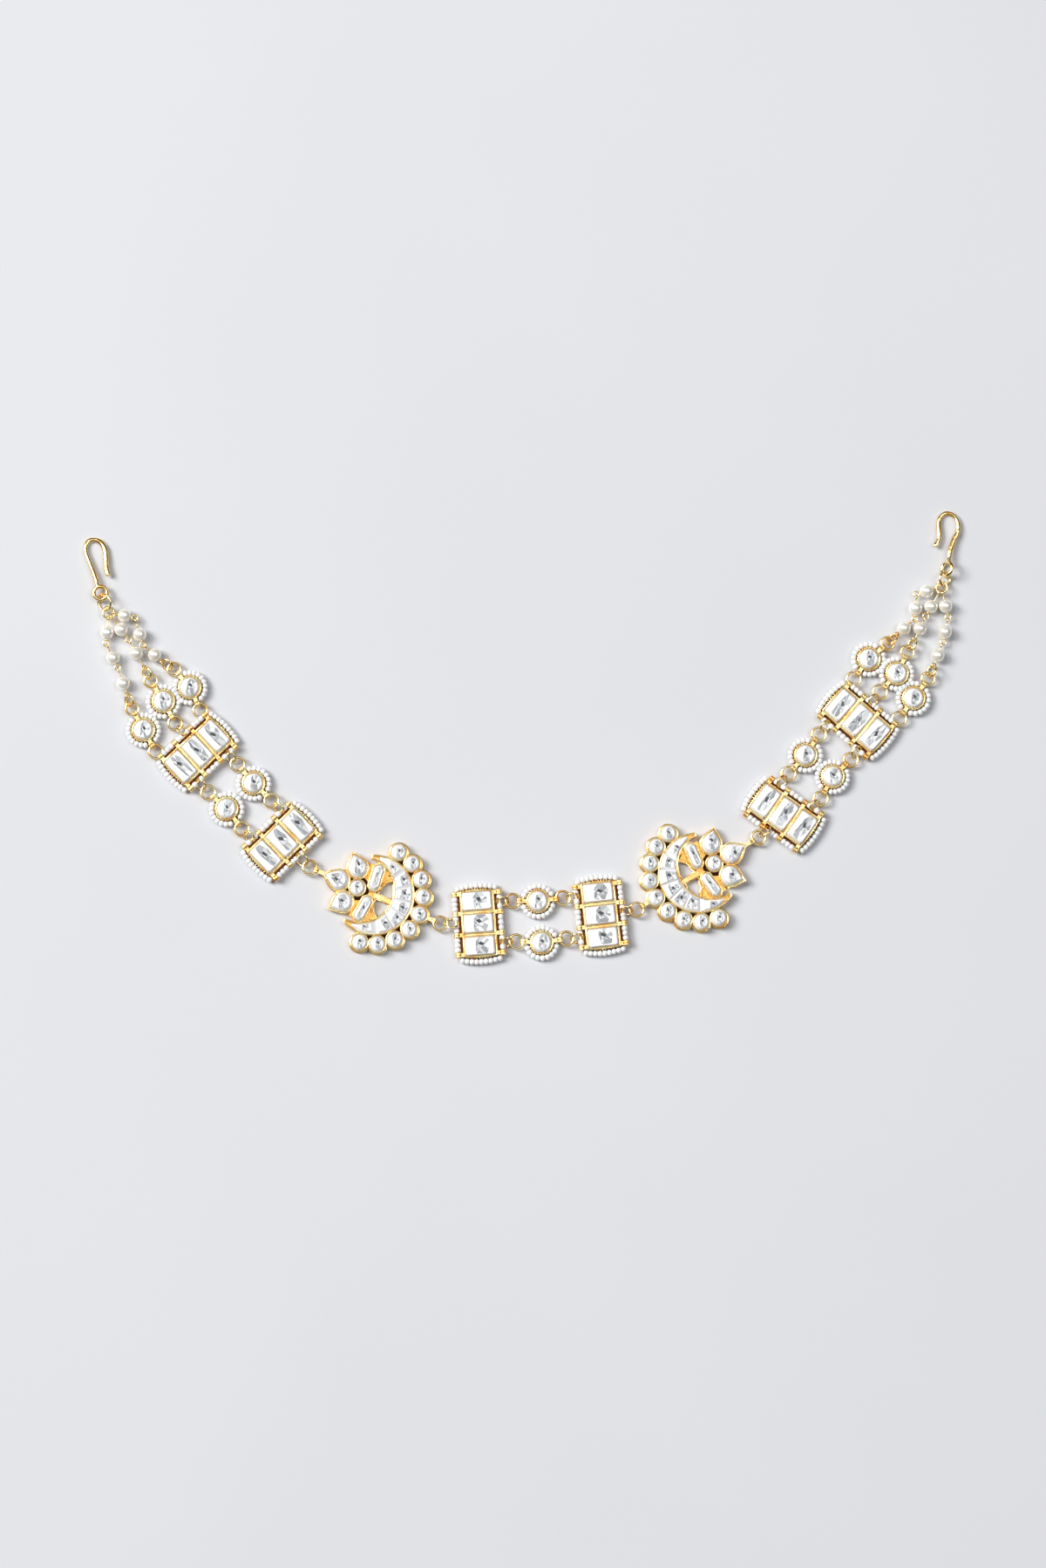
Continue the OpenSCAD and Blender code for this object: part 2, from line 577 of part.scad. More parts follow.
module crescent_left_moon_stones() moon_stones(0);
module crescent_left_flower_stones() flower_stones(0);
module crescent_right() crescent(1);
module crescent_right_round_stones() round_stones(1);
module crescent_right_moon_stones() moon_stones(1);
module crescent_right_flower_stones() flower_stones(1);
module rings_left_end() rings(RINGS_LEFT_END);
module rings_left() rings(RINGS_LEFT);
module rings_crescent_left() rings(RINGS_CRESCENT_LEFT);
module rings_centre() rings(RINGS_CENTRE);
module rings_crescent_right() rings(RINGS_CRESCENT_RIGHT);
module rings_right() rings(RINGS_RIGHT);
module rings_right_end() rings(RINGS_RIGHT_END);

hook_left();
hook_right();
end_links_left();
end_links_right();
pearls_left_outer();
wires_left_outer();
pearls_left_middle();
wires_left_middle();
pearls_left_inner();
wires_left_inner();
pearls_right_inner();
wires_right_inner();
pearls_right_middle();
wires_right_middle();
pearls_right_outer();
wires_right_outer();
plate_1();
plate_1_stones();
plate_2();
plate_2_stones();
plate_3();
plate_3_stones();
plate_4();
plate_4_stones();
plate_5();
plate_5_stones();
plate_6();
plate_6_stones();
charm_1();
charm_2();
charm_3();
charm_4();
charm_5();
charm_6();
charm_7();
charm_8();
charm_9();
charm_10();
charm_11();
charm_12();
charm_stones_left_end();
charm_stones_left();
charm_stones_centre();
charm_stones_right();
charm_stones_right_end();
crescent_left();
crescent_left_round_stones();
crescent_left_moon_stones();
crescent_left_flower_stones();
crescent_right();
crescent_right_round_stones();
crescent_right_moon_stones();
crescent_right_flower_stones();
rings_left_end();
rings_left();
rings_crescent_left();
rings_centre();
rings_crescent_right();
rings_right();
rings_right_end();
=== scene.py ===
# %% [markdown]
# # Bridal head ornament
# Six stone-set plates, twelve round charms and two crescent motifs hang together by jump rings,
# and three strands of pearls at each end run to a hook. Every piece is soldered, strung or
# linked by hand, so the lesson follows the goldsmith: metal first, then stones, beads and light.

# %% Load the frame
import math
import bpy
import numpy as np
from mathutils import Euler, Matrix, Vector


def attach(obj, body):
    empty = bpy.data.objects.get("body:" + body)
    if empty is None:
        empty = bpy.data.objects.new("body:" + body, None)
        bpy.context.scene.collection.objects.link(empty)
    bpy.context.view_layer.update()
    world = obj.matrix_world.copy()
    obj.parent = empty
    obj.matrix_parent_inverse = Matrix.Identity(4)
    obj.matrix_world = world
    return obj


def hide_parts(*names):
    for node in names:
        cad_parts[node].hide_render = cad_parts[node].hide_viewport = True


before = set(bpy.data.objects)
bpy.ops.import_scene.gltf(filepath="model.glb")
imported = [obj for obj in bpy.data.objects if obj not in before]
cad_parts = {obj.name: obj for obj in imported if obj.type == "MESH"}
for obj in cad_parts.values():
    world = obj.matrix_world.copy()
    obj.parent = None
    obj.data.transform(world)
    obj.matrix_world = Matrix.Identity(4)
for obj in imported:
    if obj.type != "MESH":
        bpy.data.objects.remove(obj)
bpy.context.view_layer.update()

MM = 0.001
rng = np.random.default_rng(7)

# %% [markdown]
# ## Camera
# A flat lay is photographed from nearly straight above. The photographer leans over the near
# edge of the table, so the walls that face them just show. The frame is 300 by 449.5 mm there,
# a quarter of a millimetre to each photo pixel. A far camera keeps the widths true.

# %% Camera
FRAME_HIGH = 0.4495
CAMERA_FAR = 1.5
LEAN = math.radians(7)
AIM = (0.0003, -0.0147, 0.0024)
SENSOR = 24
lens = bpy.data.cameras.new("camera")
lens.sensor_fit = "VERTICAL"
lens.sensor_height = SENSOR
lens.lens = SENSOR * CAMERA_FAR / FRAME_HIGH
camera = bpy.data.objects.new("camera", lens)
camera.location = (AIM[0], AIM[1] - CAMERA_FAR * math.sin(LEAN),
                   AIM[2] + CAMERA_FAR * math.cos(LEAN))
camera.rotation_euler = (LEAN, 0, 0)
bpy.context.scene.collection.objects.link(camera)
bpy.context.scene.camera = camera
bpy.context.scene.view_settings.view_transform = "Standard"
print("camera", tuple(camera.location), "lens", round(lens.lens, 1))

# %% [markdown]
# ## Measuring the frame
# The solids are the truth about places and sizes. Each loose solid of a node is picked apart and
# measured, so a ring, stone or pearl is dressed exactly where the model has it.

# %% Measuring helpers
def solids(name):
    """The loose solids of a node, each as an array of points in millimetres."""
    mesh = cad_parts[name].data
    at = np.empty(len(mesh.vertices) * 3)
    mesh.vertices.foreach_get("co", at)
    spots, back = np.unique(np.round(at.reshape(-1, 3) / MM, 3), axis=0, return_inverse=True)
    ends = np.empty(len(mesh.edges) * 2, int)
    mesh.edges.foreach_get("vertices", ends)
    a, b = back.ravel()[ends].reshape(-1, 2).T
    label = np.arange(len(spots))
    while True:
        low = np.minimum(label[a], label[b])
        new = label.copy()
        np.minimum.at(new, a, low)
        np.minimum.at(new, b, low)
        new = new[new]
        if (new == label).all():
            return [spots[label == k] for k in np.unique(label)]
        label = new


def ring_of(p):
    """Centre, axis, ring radius and wire radius of a torus."""
    mid = p.mean(0)
    axes = np.linalg.eigh(np.cov((p - mid).T))[1]
    q = (p - mid) @ axes
    low, high = q.min(0), q.max(0)
    wire = (high[0] - low[0]) / 2
    return mid + axes @ (low + high) / 2, axes[:, 0], (high - low)[1:].mean() / 2 - wire, wire


def outline_of(p):
    """The widest outline of a cut stone, anticlockwise, with its middle and its height."""
    levels = np.round(p[:, 2], 2)
    waist = max(np.unique(levels), key=lambda z: (np.round(np.ptp(p[levels == z], 0).sum(), 1), z))
    wide = np.unique(np.round(p[levels == waist][:, :2], 2), axis=0)
    mid = (wide.min(0) + wide.max(0)) / 2
    turn = np.arctan2(*(wide - mid).T[::-1])
    return wide[np.argsort(turn)], mid, waist


all_names = sorted(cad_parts)
ring_names = [n for n in all_names if n.startswith(("rings_", "end_links_"))]
rings = [ring_of(p) for n in ring_names for p in solids(n)]
print("rings", len(rings), "first", np.round(np.hstack(rings[0]), 2))

# %% [markdown]
# ## Building helpers
# What repeats is grown by a small node tree from points that carry their own turn and size.
# The result is kept as a plain mesh, so every bead and ring can be looked at as it is.

# %% Building helpers
def keep(name, mesh, *materials, smooth=True):
    """A finished piece at the origin, riding on the ornament."""
    piece = bpy.data.objects.new(name, mesh)
    bpy.context.scene.collection.objects.link(piece)
    for m in materials:
        mesh.materials.append(m)
    if smooth:
        mesh.shade_smooth()
    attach(piece, "root")
    return piece


def mesh_of(name, points, faces, edges=()):
    """A mesh in metres from points in millimetres."""
    mesh = bpy.data.meshes.new(name)
    mesh.from_pydata([tuple(p) for p in np.asarray(points) * MM], list(edges), faces)
    mesh.validate()
    return mesh


def add(group, kind, settings=None, **feeds):
    """A node, with each input given as a value or as (node, output)."""
    n = group.nodes.new(kind)
    for key, value in (settings or {}).items():
        setattr(n, key, value)
    for key, value in feeds.items():
        socket = next(s for s in n.inputs if s.enabled and s.name == key.replace("_", " "))
        if isinstance(value, tuple) and hasattr(value[0], "outputs"):
            source = next(s for s in value[0].outputs if s.enabled and s.name == value[1])
            group.links.new(source, socket)
        else:
            socket.default_value = value
    return n


def new_tree(name, inputs):
    """An empty geometry tree with named inputs, and its input node."""
    group = bpy.data.node_groups.new(name, "GeometryNodeTree")
    group.interface.new_socket("Geometry", in_out="INPUT", socket_type="NodeSocketGeometry")
    for label, kind in inputs:
        group.interface.new_socket(label, in_out="INPUT", socket_type="NodeSocket" + kind)
    group.interface.new_socket("Geometry", in_out="OUTPUT", socket_type="NodeSocketGeometry")
    return group, add(group, "NodeGroupInput")


def end_tree(group, geometry, material):
    """Closes a tree: real meshes, smooth, in one material."""
    real = add(group, "GeometryNodeRealizeInstances", Geometry=geometry)
    smooth = add(group, "GeometryNodeSetShadeSmooth", Geometry=(real, "Geometry"))
    done = add(group, "GeometryNodeSetMaterial", Geometry=(smooth, "Geometry"), Material=material)
    add(group, "NodeGroupOutput", Geometry=(done, "Geometry"))


def carried(group, name, kind="FLOAT"):
    """What each point carries under a name."""
    n = add(group, "GeometryNodeInputNamedAttribute", {"data_type": kind}, Name=name)
    return n, "Attribute"


def laid(group):
    """The turn that each point carries, as a rotation."""
    turn = carried(group, "turn", "FLOAT_VECTOR")
    return add(group, "FunctionNodeEulerToRotation", Euler=turn), "Rotation"


def uneven(group, given):
    """A size for each point by chance, from 1 less the unevenness up to 1."""
    least = add(group, "ShaderNodeMath", {"operation": "SUBTRACT"})
    least.inputs[0].default_value = 1.0
    group.links.new(given.outputs["Uneven"], least.inputs[1])
    return add(group, "FunctionNodeRandomValue", {"data_type": "FLOAT"}, Min=(least, "Value"),
               Max=1.0, Seed=(given, "Seed")), "Value"


def circle(group, sides, radius):
    """The outline that a wire or a bead is swept with."""
    return add(group, "GeometryNodeCurvePrimitiveCircle", {"mode": "RADIUS"}, Resolution=sides,
               Radius=radius), "Curve"


def grow(name, group, places, values, edges=(), **attributes):
    """Runs a tree on points and keeps what it made as a plain mesh."""
    mesh = mesh_of(name, places, [], edges)
    for key, data in attributes.items():
        data = np.asarray(data, float)
        kind, slot = ("FLOAT_VECTOR", "vector") if data.ndim > 1 else ("FLOAT", "value")
        mesh.attributes.new(key, kind, "POINT").data.foreach_set(slot, data.ravel())
    piece = bpy.data.objects.new(name, mesh)
    bpy.context.scene.collection.objects.link(piece)
    grower = piece.modifiers.new(name, "NODES")
    grower.node_group = group
    for item in group.interface.items_tree:
        if item.item_type == "SOCKET" and item.in_out == "INPUT" and item.name in values:
            grower[item.identifier] = values[item.name]
    bpy.context.view_layer.update()
    made = piece.evaluated_get(bpy.context.evaluated_depsgraph_get())
    done = bpy.data.meshes.new_from_object(made)
    piece.modifiers.clear()
    piece.data = done
    done.name = name
    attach(piece, "root")
    triangles = sum(len(p.vertices) - 2 for p in done.polygons)
    print(name, len(places), "places,", triangles, "triangles")
    return piece


def turned(axis, spin):
    """Euler angles that lay Z along axis, spun about it."""
    return (Vector(axis).to_track_quat("Z", "Y") @ Euler((0, 0, spin)).to_quaternion()).to_euler()


def tube(path, radius, sides, closed=False, flat=1.0):
    """Points and faces of a wire along a path, its radius and its flattening for each point."""
    path = np.asarray(path, float)
    radius, flat = np.broadcast_to(radius, len(path)), np.broadcast_to(flat, len(path))
    if closed:
        along = np.roll(path, -1, 0) - np.roll(path, 1, 0)
    else:
        along = np.gradient(path, axis=0)
    along /= np.linalg.norm(along, axis=1)[:, None]
    side = np.cross(along, [0, 0, 1.0])
    side /= np.maximum(np.linalg.norm(side, axis=1), 1e-9)[:, None]
    up = np.cross(side, along) * flat[:, None]
    turn = np.arange(sides) * 2 * math.pi / sides
    rows = path[:, None] + radius[:, None, None] * (
        side[:, None] * np.cos(turn)[:, None] + up[:, None] * np.sin(turn)[:, None])
    n, faces = len(path), []
    for i in range(n if closed else n - 1):
        a, b = i * sides, (i + 1) % n * sides
        faces += [(a + k, a + (k + 1) % sides, b + (k + 1) % sides, b + k) for k in range(sides)]
    if not closed:
        faces += [tuple(range(sides))[::-1], tuple(range((n - 1) * sides, n * sides))]
    return rows.reshape(-1, 3), faces


def joined(parts):
    """One list of points and faces from several."""
    points, faces, base = [], [], 0
    for p, f in parts:
        points.append(p)
        faces += [tuple(i + base for i in face) for face in f]
        base += len(p)
    return np.vstack(points), faces


def rounded(path, step, closed=False):
    """A smooth curve through the points of a path, resampled at about the given step."""
    path = np.asarray(path, float)
    n = len(path)
    out = []
    for i in range(n if closed else n - 1):
        ids = [(i - 1) % n, i, (i + 1) % n, (i + 2) % n] if closed else [
            max(i - 1, 0), i, i + 1, min(i + 2, n - 1)]
        a, b, c, d = path[ids]
        for t in np.linspace(0, 1, max(2, int(np.linalg.norm(c - b) / step) + 1), endpoint=False):
            out.append(0.5 * (2 * b + (c - a) * t + (2 * a - 5 * b + 4 * c - d) * t * t
                              + (3 * b - a - 3 * c + d) * t ** 3))
    if not closed:
        out.append(path[-1])
    return np.array(out)


def spaced(path, pitch):
    """Places and directions at an even pitch along a path, centred on it."""
    path = np.asarray(path, float)
    steps = np.linalg.norm(np.diff(path, axis=0), axis=1)
    run = np.r_[0, np.cumsum(steps)]
    count = max(1, int(run[-1] / pitch + 0.5))
    at = (np.arange(count) + 0.5) * run[-1] / count
    spots = np.stack([np.interp(at, run, path[:, k]) for k in range(path.shape[1])], 1)
    legs = np.diff(path, axis=0)[np.clip(np.searchsorted(run, at) - 1, 0, len(steps) - 1)]
    return spots, legs / np.linalg.norm(legs, axis=1)[:, None]


print("helpers ready")

# %% [markdown]
# ## Materials
# The metal is brass with a pale gold plating, paler or deeper at random, and its colour is
# painted darker low down, in the deep corners, as shade. The stones are clear glass on foil, the
# pearls are coated, and the seed beads are opaque white glass. All patterns run in millimetres of
# the object, so they stay on it.

# %% Material helpers
def material(name, color, **values):
    """A material with its shader, and its values by socket name."""
    m = bpy.data.materials.new(name)
    m.use_nodes = True
    shader = m.node_tree.nodes["Principled BSDF"]
    shader.inputs["Base Color"].default_value = (*color, 1)
    for key, value in values.items():
        shader.inputs[key.replace("_", " ")].default_value = value
    return m, m.node_tree, shader


def noise(t, scale, detail, rough=0.5):
    """Noise on the object's own coordinates, in waves to the metre."""
    place = next((n for n in t.nodes if n.type == "TEX_COORD"), None) or add(
        t, "ShaderNodeTexCoord")
    return add(t, "ShaderNodeTexNoise", Vector=(place, "Object"), Scale=scale, Detail=detail,
               Roughness=rough)


def ramp(t, source, stops):
    """A colour ramp: stops are (place, colour or grey)."""
    r = add(t, "ShaderNodeValToRGB", Fac=source)
    band = r.color_ramp
    while len(band.elements) < len(stops):
        band.elements.new(1)
    for e, (at, c) in zip(band.elements, stops):
        e.position = at
        e.color = (*c, 1) if isinstance(c, tuple) else (c, c, c, 1)
    return r


def feed(t, source, socket):
    """A link from one socket to another."""
    t.links.new(source, socket)


def bumps(t, shader, source, height, distance):
    """Fine relief, with its depth in metres."""
    b = add(t, "ShaderNodeBump", Height=source, Strength=height, Distance=distance)
    feed(t, b.outputs["Normal"], shader.inputs["Normal"])


# %% Gold
PALE, DEEP = (1.0, 0.83, 0.43), (0.97, 0.6, 0.2)
# The three dark colours below are painted shade that gold() puts into low parts.
AMBER, SHADE_RED_BROWN, BROWN = (0.95, 0.5, 0.11), (0.16, 0.055, 0.016), (0.035, 0.01, 0.004)


def gold(name, dark_from=None, dark_to=None, dark=BROWN):
    """Gold plate; between the two heights in millimetres it goes from painted shade to bright."""
    m, t, shader = material(name, PALE, Metallic=1.0 if dark_from is None else 0.9, Roughness=0.2)
    tone = ramp(t, (noise(t, 260, 5), "Fac"), [(0.36, DEEP), (0.56, PALE)])
    # Below dark_from the colour is the dark one, painted shade; it fades into the gold by dark_to.
    if dark_from is not None:
        place = next(n for n in t.nodes if n.type == "TEX_COORD")
        parts = add(t, "ShaderNodeSeparateXYZ", Vector=(place, "Object"))
        high = add(t, "ShaderNodeMapRange", Value=(parts, "Z"), From_Min=dark_from * MM,
                   From_Max=dark_to * MM)
        mix = add(t, "ShaderNodeMix", {"data_type": "RGBA"}, Factor=(high, "Result"))
        mix.inputs[6].default_value = (*dark, 1)
        t.links.new(tone.outputs["Color"], mix.inputs[7])
        feed(t, mix.outputs[2], shader.inputs["Base Color"])
    else:
        feed(t, tone.outputs["Color"], shader.inputs["Base Color"])
    low, high = (0.12, 0.28) if dark_from is None else (0.22, 0.42)
    worn = ramp(t, (noise(t, 900, 3), "Fac"), [(0.35, low), (0.7, high)])
    feed(t, worn.outputs["Color"], shader.inputs["Roughness"])
    bumps(t, shader, (noise(t, 1100, 3), "Fac"), 1.0, 7e-5 if dark_from is None else 1.2e-4)
    return m


# gold_bright has no painted shade. gold_setting paints the low parts of the settings amber as
# shade. The back plates and bands lie wholly below 2.6 mm, so gold_shade and gold_base paint them
# dark all over as shade.
gold_bright = gold("gold_bright")
gold_setting = gold("gold_setting", 0.9, 2.0, AMBER)
gold_shade = gold("gold_shade", 2.6, 9.0, SHADE_RED_BROWN)
gold_base = gold("gold_base", 2.6, 9.0)
print("gold materials")

# %% Glass, pearl and bead
foil, t, shader = material("foil_glass", (0.9, 0.92, 0.95), Roughness=0.12, Coat_Weight=1.0,
                           Coat_Roughness=0.03)
# Each facet's tone attribute is painted reflection: the light its shard would mirror.
tint = add(t, "ShaderNodeAttribute", {"attribute_name": "tint"})
crackle = ramp(t, (noise(t, 1100, 6, 0.7), "Fac"), [(0.3, 0.93), (0.4, 1.0)])
mix = add(t, "ShaderNodeMix", {"data_type": "RGBA", "blend_type": "MULTIPLY"}, Factor=1.0)
t.links.new(tint.outputs["Color"], mix.inputs[6])
t.links.new(crackle.outputs["Color"], mix.inputs[7])
feed(t, mix.outputs[2], shader.inputs["Base Color"])
bumps(t, shader, (noise(t, 700, 3), "Fac"), 0.35, 5e-5)

# The faint cream emission is painted light that brightens the pearls.
pearl, t, shader = material("pearl", (0.95, 0.92, 0.86), Roughness=0.24, Metallic=0.4,
                            Coat_Weight=1.0, Coat_Roughness=0.04, Subsurface_Weight=0.2,
                            Subsurface_Scale=0.001, Emission_Color=(1, 0.93, 0.8, 1),
                            Emission_Strength=0.06)
cream = ramp(t, (noise(t, 500, 3), "Fac"),
             [(0.35, (0.95, 0.89, 0.77)), (0.65, (0.99, 0.97, 0.91))])
feed(t, cream.outputs["Color"], shader.inputs["Base Color"])
bumps(t, shader, (noise(t, 2600, 4), "Fac"), 0.12, 2e-5)

# The faint white emission is painted light that keeps the beads white.
bead, t, shader = material("seed_bead", (0.97, 0.96, 0.95), Roughness=0.14, Coat_Weight=0.8,
                           Coat_Roughness=0.04, Subsurface_Weight=0.35, Subsurface_Scale=0.0007,
                           Emission_Color=(1, 1, 1, 1), Emission_Strength=0.05)
milk = ramp(t, (noise(t, 420, 2), "Fac"),
            [(0.35, (0.93, 0.92, 0.91)), (0.6, (0.995, 0.99, 0.985))])
feed(t, milk.outputs["Color"], shader.inputs["Base Color"])
bumps(t, shader, (noise(t, 1800, 3), "Fac"), 0.2, 3e-5)
print("materials", len(bpy.data.materials))

# %% [markdown]
# ## Soldered metal
# Plates, charms, crescents and pins stay the solids of the model. They get the plating.

# %% Metal that stays
metal_names = [n for n in all_names if n.startswith(("plate_", "charm_", "crescent_", "wires_"))
               and "stones" not in n]
# The plates, charms and crescents take gold_setting, with painted shade in their low parts; the
# pins take plain gold.
for n in metal_names:
    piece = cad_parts[n]
    for place in piece.material_slots:
        place.material = gold_bright if n.startswith("wires_") else gold_setting
print("metal nodes", len(metal_names))

# %% [markdown]
# ## Jump rings
# A jump ring is cut from a coil of wire, opened sideways, hooked in and closed, so each has a
# fine slit. One tree bends an arc of wire to every ring's own radius and turn.

# %% Jump rings
tree, given = new_tree("jump_rings", [("Wire Arc", "Float"), ("Sides", "Int"),
                                      ("Metal", "Material")])
arc = add(tree, "GeometryNodeCurveArc", {"mode": "RADIUS"}, Resolution=44, Radius=1.0,
          Start_Angle=0.0, Sweep_Angle=(given, "Wire Arc"))
set_out = add(tree, "GeometryNodeInstanceOnPoints", Points=(given, "Geometry"),
              Instance=(arc, "Curve"), Rotation=laid(tree), Scale=carried(tree, "size"))
loose = add(tree, "GeometryNodeRealizeInstances", Geometry=(set_out, "Instances"))
swept = add(tree, "GeometryNodeCurveToMesh", Curve=(loose, "Geometry"),
            Profile_Curve=circle(tree, (given, "Sides"), 1.0), Scale=carried(tree, "wire"),
            Fill_Caps=True)
end_tree(tree, (swept, "Mesh"), (given, "Metal"))

WIRE_ARC = math.radians(355)
spins = rng.uniform(0, 2 * math.pi, len(rings))
jump_rings = grow("jump_rings", tree, [r[0] for r in rings],
                  {"Wire Arc": WIRE_ARC, "Sides": 12, "Metal": gold_bright},
                  turn=[turned(r[1], s) for r, s in zip(rings, spins)],
                  size=[r[2] * MM for r in rings], wire=[r[3] * MM for r in rings])
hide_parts(*ring_names)

# %% [markdown]
# ## Where the plates and charms lie
# A plate's three stones give its middle and its long direction. A charm's stone gives its
# middle, and the points of its two eyes, which stand out furthest, give their directions.

# %% Frames of plates and charms
LINK_HIGH, EYE_FROM = 1.85, 5.0
plates = []
for n in [n for n in all_names if n.startswith("plate_") and "stones" not in n]:
    mids = [(p.min(0) + p.max(0))[:2] / 2 for p in solids(n + "_stones")]
    mid = np.mean(mids, 0)
    far = max((b - a for a in mids for b in mids), key=np.linalg.norm)
    v = far / np.linalg.norm(far) * (1 if far[1] > 0 else -1)
    plates.append((n, mid, np.array([v[1], -v[0]]), v))
round_mids = [(p.min(0) + p.max(0))[:2] / 2 for n in all_names if n.startswith("charm_stones")
              for p in solids(n)]
charms = []
for n in [n for n in all_names if n.startswith("charm_") and "stones" not in n]:
    p = np.vstack(solids(n))[:, :2]
    mid = min(round_mids, key=lambda m: np.linalg.norm(m - (p.min(0) + p.max(0)) / 2))
    out = p - mid
    away = np.linalg.norm(out, axis=1)
    first = out[away.argmax()] / away.max()
    tips = out[away > EYE_FROM]
    side = tips @ first > 0
    eyes = [math.atan2(*tips[s].mean(0)[::-1]) for s in (side, ~side)]
    charms.append((n, mid, eyes))
print("plates", len(plates), "charms", len(charms), "first eyes",
      [round(math.degrees(a)) for a in charms[0][2]])


def on_plate(plate, u, v, z):
    """Points of a plate given along the chain (u), along its length (v) and up (z)."""
    _, mid, a, b = plate
    flat = mid + np.outer(u, a) + np.outer(v, b)
    return np.c_[flat, np.broadcast_to(z, len(flat))]


# %% [markdown]
# ## Strung seed beads
# Seed beads are short cuts of glass tube, rounded in the fire, so no two are quite alike. They
# are threaded on the plates' rods wherever a barrel or a jump ring leaves room, on a wire
# round every charm, and on a bowed wire along the plates' short ends.

# %% Where beads fit on the rods
ROD_AT, BEAD_PITCH = 6.4, 1.34
ROD_NEAR, BARREL_NEAR, BARREL_FAR, BARREL_GAP = 0.4, 0.6, 1.0, 1.0
RING_ROOM, SHORTEST = 0.08, 0.8
strings, threads = [], []


def free_lengths(plate, side):
    """The stretches of a rod between barrels and rings."""
    p = np.vstack(solids(plate[0]))
    flat = p[:, :2] - plate[1]
    u, v = flat @ plate[2] - side * ROD_AT, flat @ plate[3]
    off = np.hypot(u, p[:, 2] - LINK_HIGH)
    barrels = np.sort(v[(off > BARREL_NEAR) & (off < BARREL_FAR)])
    groups = np.split(barrels, np.nonzero(np.diff(barrels) > BARREL_GAP)[0] + 1)
    taken = [(g[0], g[-1]) for g in groups]
    rod = v[off < ROD_NEAR]
    for mid, axis, radius, wire in rings:
        d = mid[:2] - plate[1]
        lean = axis[:2] @ plate[3]
        if abs(lean) < 0.3:
            continue
        gap = np.array([d @ plate[2] - side * ROD_AT, d @ plate[3], mid[2] - LINK_HIGH])
        way = np.array([axis[:2] @ plate[2], lean, axis[2]])
        at = gap @ way / lean
        if np.linalg.norm([gap[0], gap[1] - at, gap[2]]) < radius:
            half = wire / abs(lean) + RING_ROOM
            taken.append((at - half, at + half))
    taken.sort()
    low, high = max(rod.min(), taken[0][0]), min(rod.max(), taken[-1][1])
    edges = [low] + [e for pair in taken for e in pair] + [high]
    return [(a, b) for a, b in zip(edges[::2], edges[1::2]) if b - a > SHORTEST]


for plate in plates:
    for side in (-1, 1):
        for a, b in free_lengths(plate, side):
            strings.append(on_plate(plate, [side * ROD_AT] * 2, [a, b], LINK_HIGH))
print("free stretches", len(strings))

# %% Rows on short ends and round charms
ROW_U = np.array([-5.95, -5.1, -2.6, 0, 2.6, 5.1, 5.95])
ROW_V = np.array([9.95, 10.35, 10.8, 10.95, 10.8, 10.35, 9.95])
ROW_HIGH, FEET_U, FEET_V = 1.35, 6.2, 9.3
for plate in plates:
    for end in (-1, 1):
        row = rounded(on_plate(plate, ROW_U, end * ROW_V, ROW_HIGH), 0.4)
        strings.append(row)
        feet = on_plate(plate, [-FEET_U, FEET_U], [end * FEET_V] * 2, ROW_HIGH)
        threads.append(np.vstack([feet[:1], row, feet[1:]]))
CHARM_BEADS, CHARM_HIGH, EYE_ROOM = 4.37, 1.45, math.radians(14)
for _, mid, eyes in charms:
    for a, b in (eyes, eyes[::-1]):
        sweep = (b - a) % (2 * math.pi)
        for path, room in ((strings, EYE_ROOM), (threads, EYE_ROOM / 6)):
            t = np.linspace(a + room, a + sweep - room, 24)
            path.append(np.c_[mid + CHARM_BEADS * np.c_[np.cos(t), np.sin(t)],
                              np.full(24, CHARM_HIGH)])
print("strings", len(strings), "threads", len(threads))

# %% Seed beads
tree, given = new_tree("seed_beads", [("Width", "Float"), ("Length", "Float"),
                                      ("Uneven", "Float"), ("Seed", "Int"), ("Glass", "Material")])
WALL_MID, WALL = 0.28, 0.22
donut = add(tree, "GeometryNodeCurveToMesh", Curve=circle(tree, 12, WALL_MID),
            Profile_Curve=circle(tree, 8, WALL))


def times(a, b):
    """The product of two outputs of the tree."""
    n = tree.nodes.new("ShaderNodeMath")
    n.operation = "MULTIPLY"
    for socket, (source, label) in zip(n.inputs, (a, b)):
        tree.links.new(next(s for s in source.outputs if s.enabled and s.name == label), socket)
    return n, "Value"


wide = times((given, "Width"), uneven(tree, given))
long = times((given, "Length"), carried(tree, "fit"))
shape = add(tree, "ShaderNodeCombineXYZ", X=wide, Y=wide, Z=long)
put = add(tree, "GeometryNodeInstanceOnPoints", Points=(given, "Geometry"),
          Instance=(donut, "Mesh"), Rotation=laid(tree), Scale=(shape, "Vector"))
end_tree(tree, (put, "Instances"), (given, "Glass"))

BEAD_WIDE, LONGEST, PLAY, TILT = 1.76, 1.6, 0.98, 0.07
spots, ways, fits = [], [], []
for path in strings:
    at, way = spaced(path, BEAD_PITCH)
    spots.append(at)
    ways.append(way)
    run = np.linalg.norm(np.diff(path, axis=0), axis=1).sum()
    fits.append(np.full(len(at), min(run / len(at), LONGEST) * PLAY))
spots, ways, fits = np.vstack(spots), np.vstack(ways), np.hstack(fits)
ways = ways + rng.normal(0, TILT, ways.shape)
grow("seed_beads", tree, spots,
     {"Width": BEAD_WIDE * MM, "Length": MM / (2 * WALL), "Uneven": 0.09, "Seed": 11,
      "Glass": bead},
     turn=[turned(w, s) for w, s in zip(ways, rng.uniform(0, 6.28, len(ways)))], fit=fits)

# %% Their threads
THREAD = 0.14
all_threads = joined([tube(path, THREAD, 6) for path in threads])
thread_wires = keep("thread_wires", mesh_of("thread_wires", *all_threads), gold_bright)
print("threads", len(threads))

# %% [markdown]
# ## Pearls
# A pearl is drilled right through, so it is sunken round both ends of its bore. A ball could be
# turned on a profile, but one tree that presses a ball in near its axis does all sixteen, and a
# little noise in the coat does the rest.

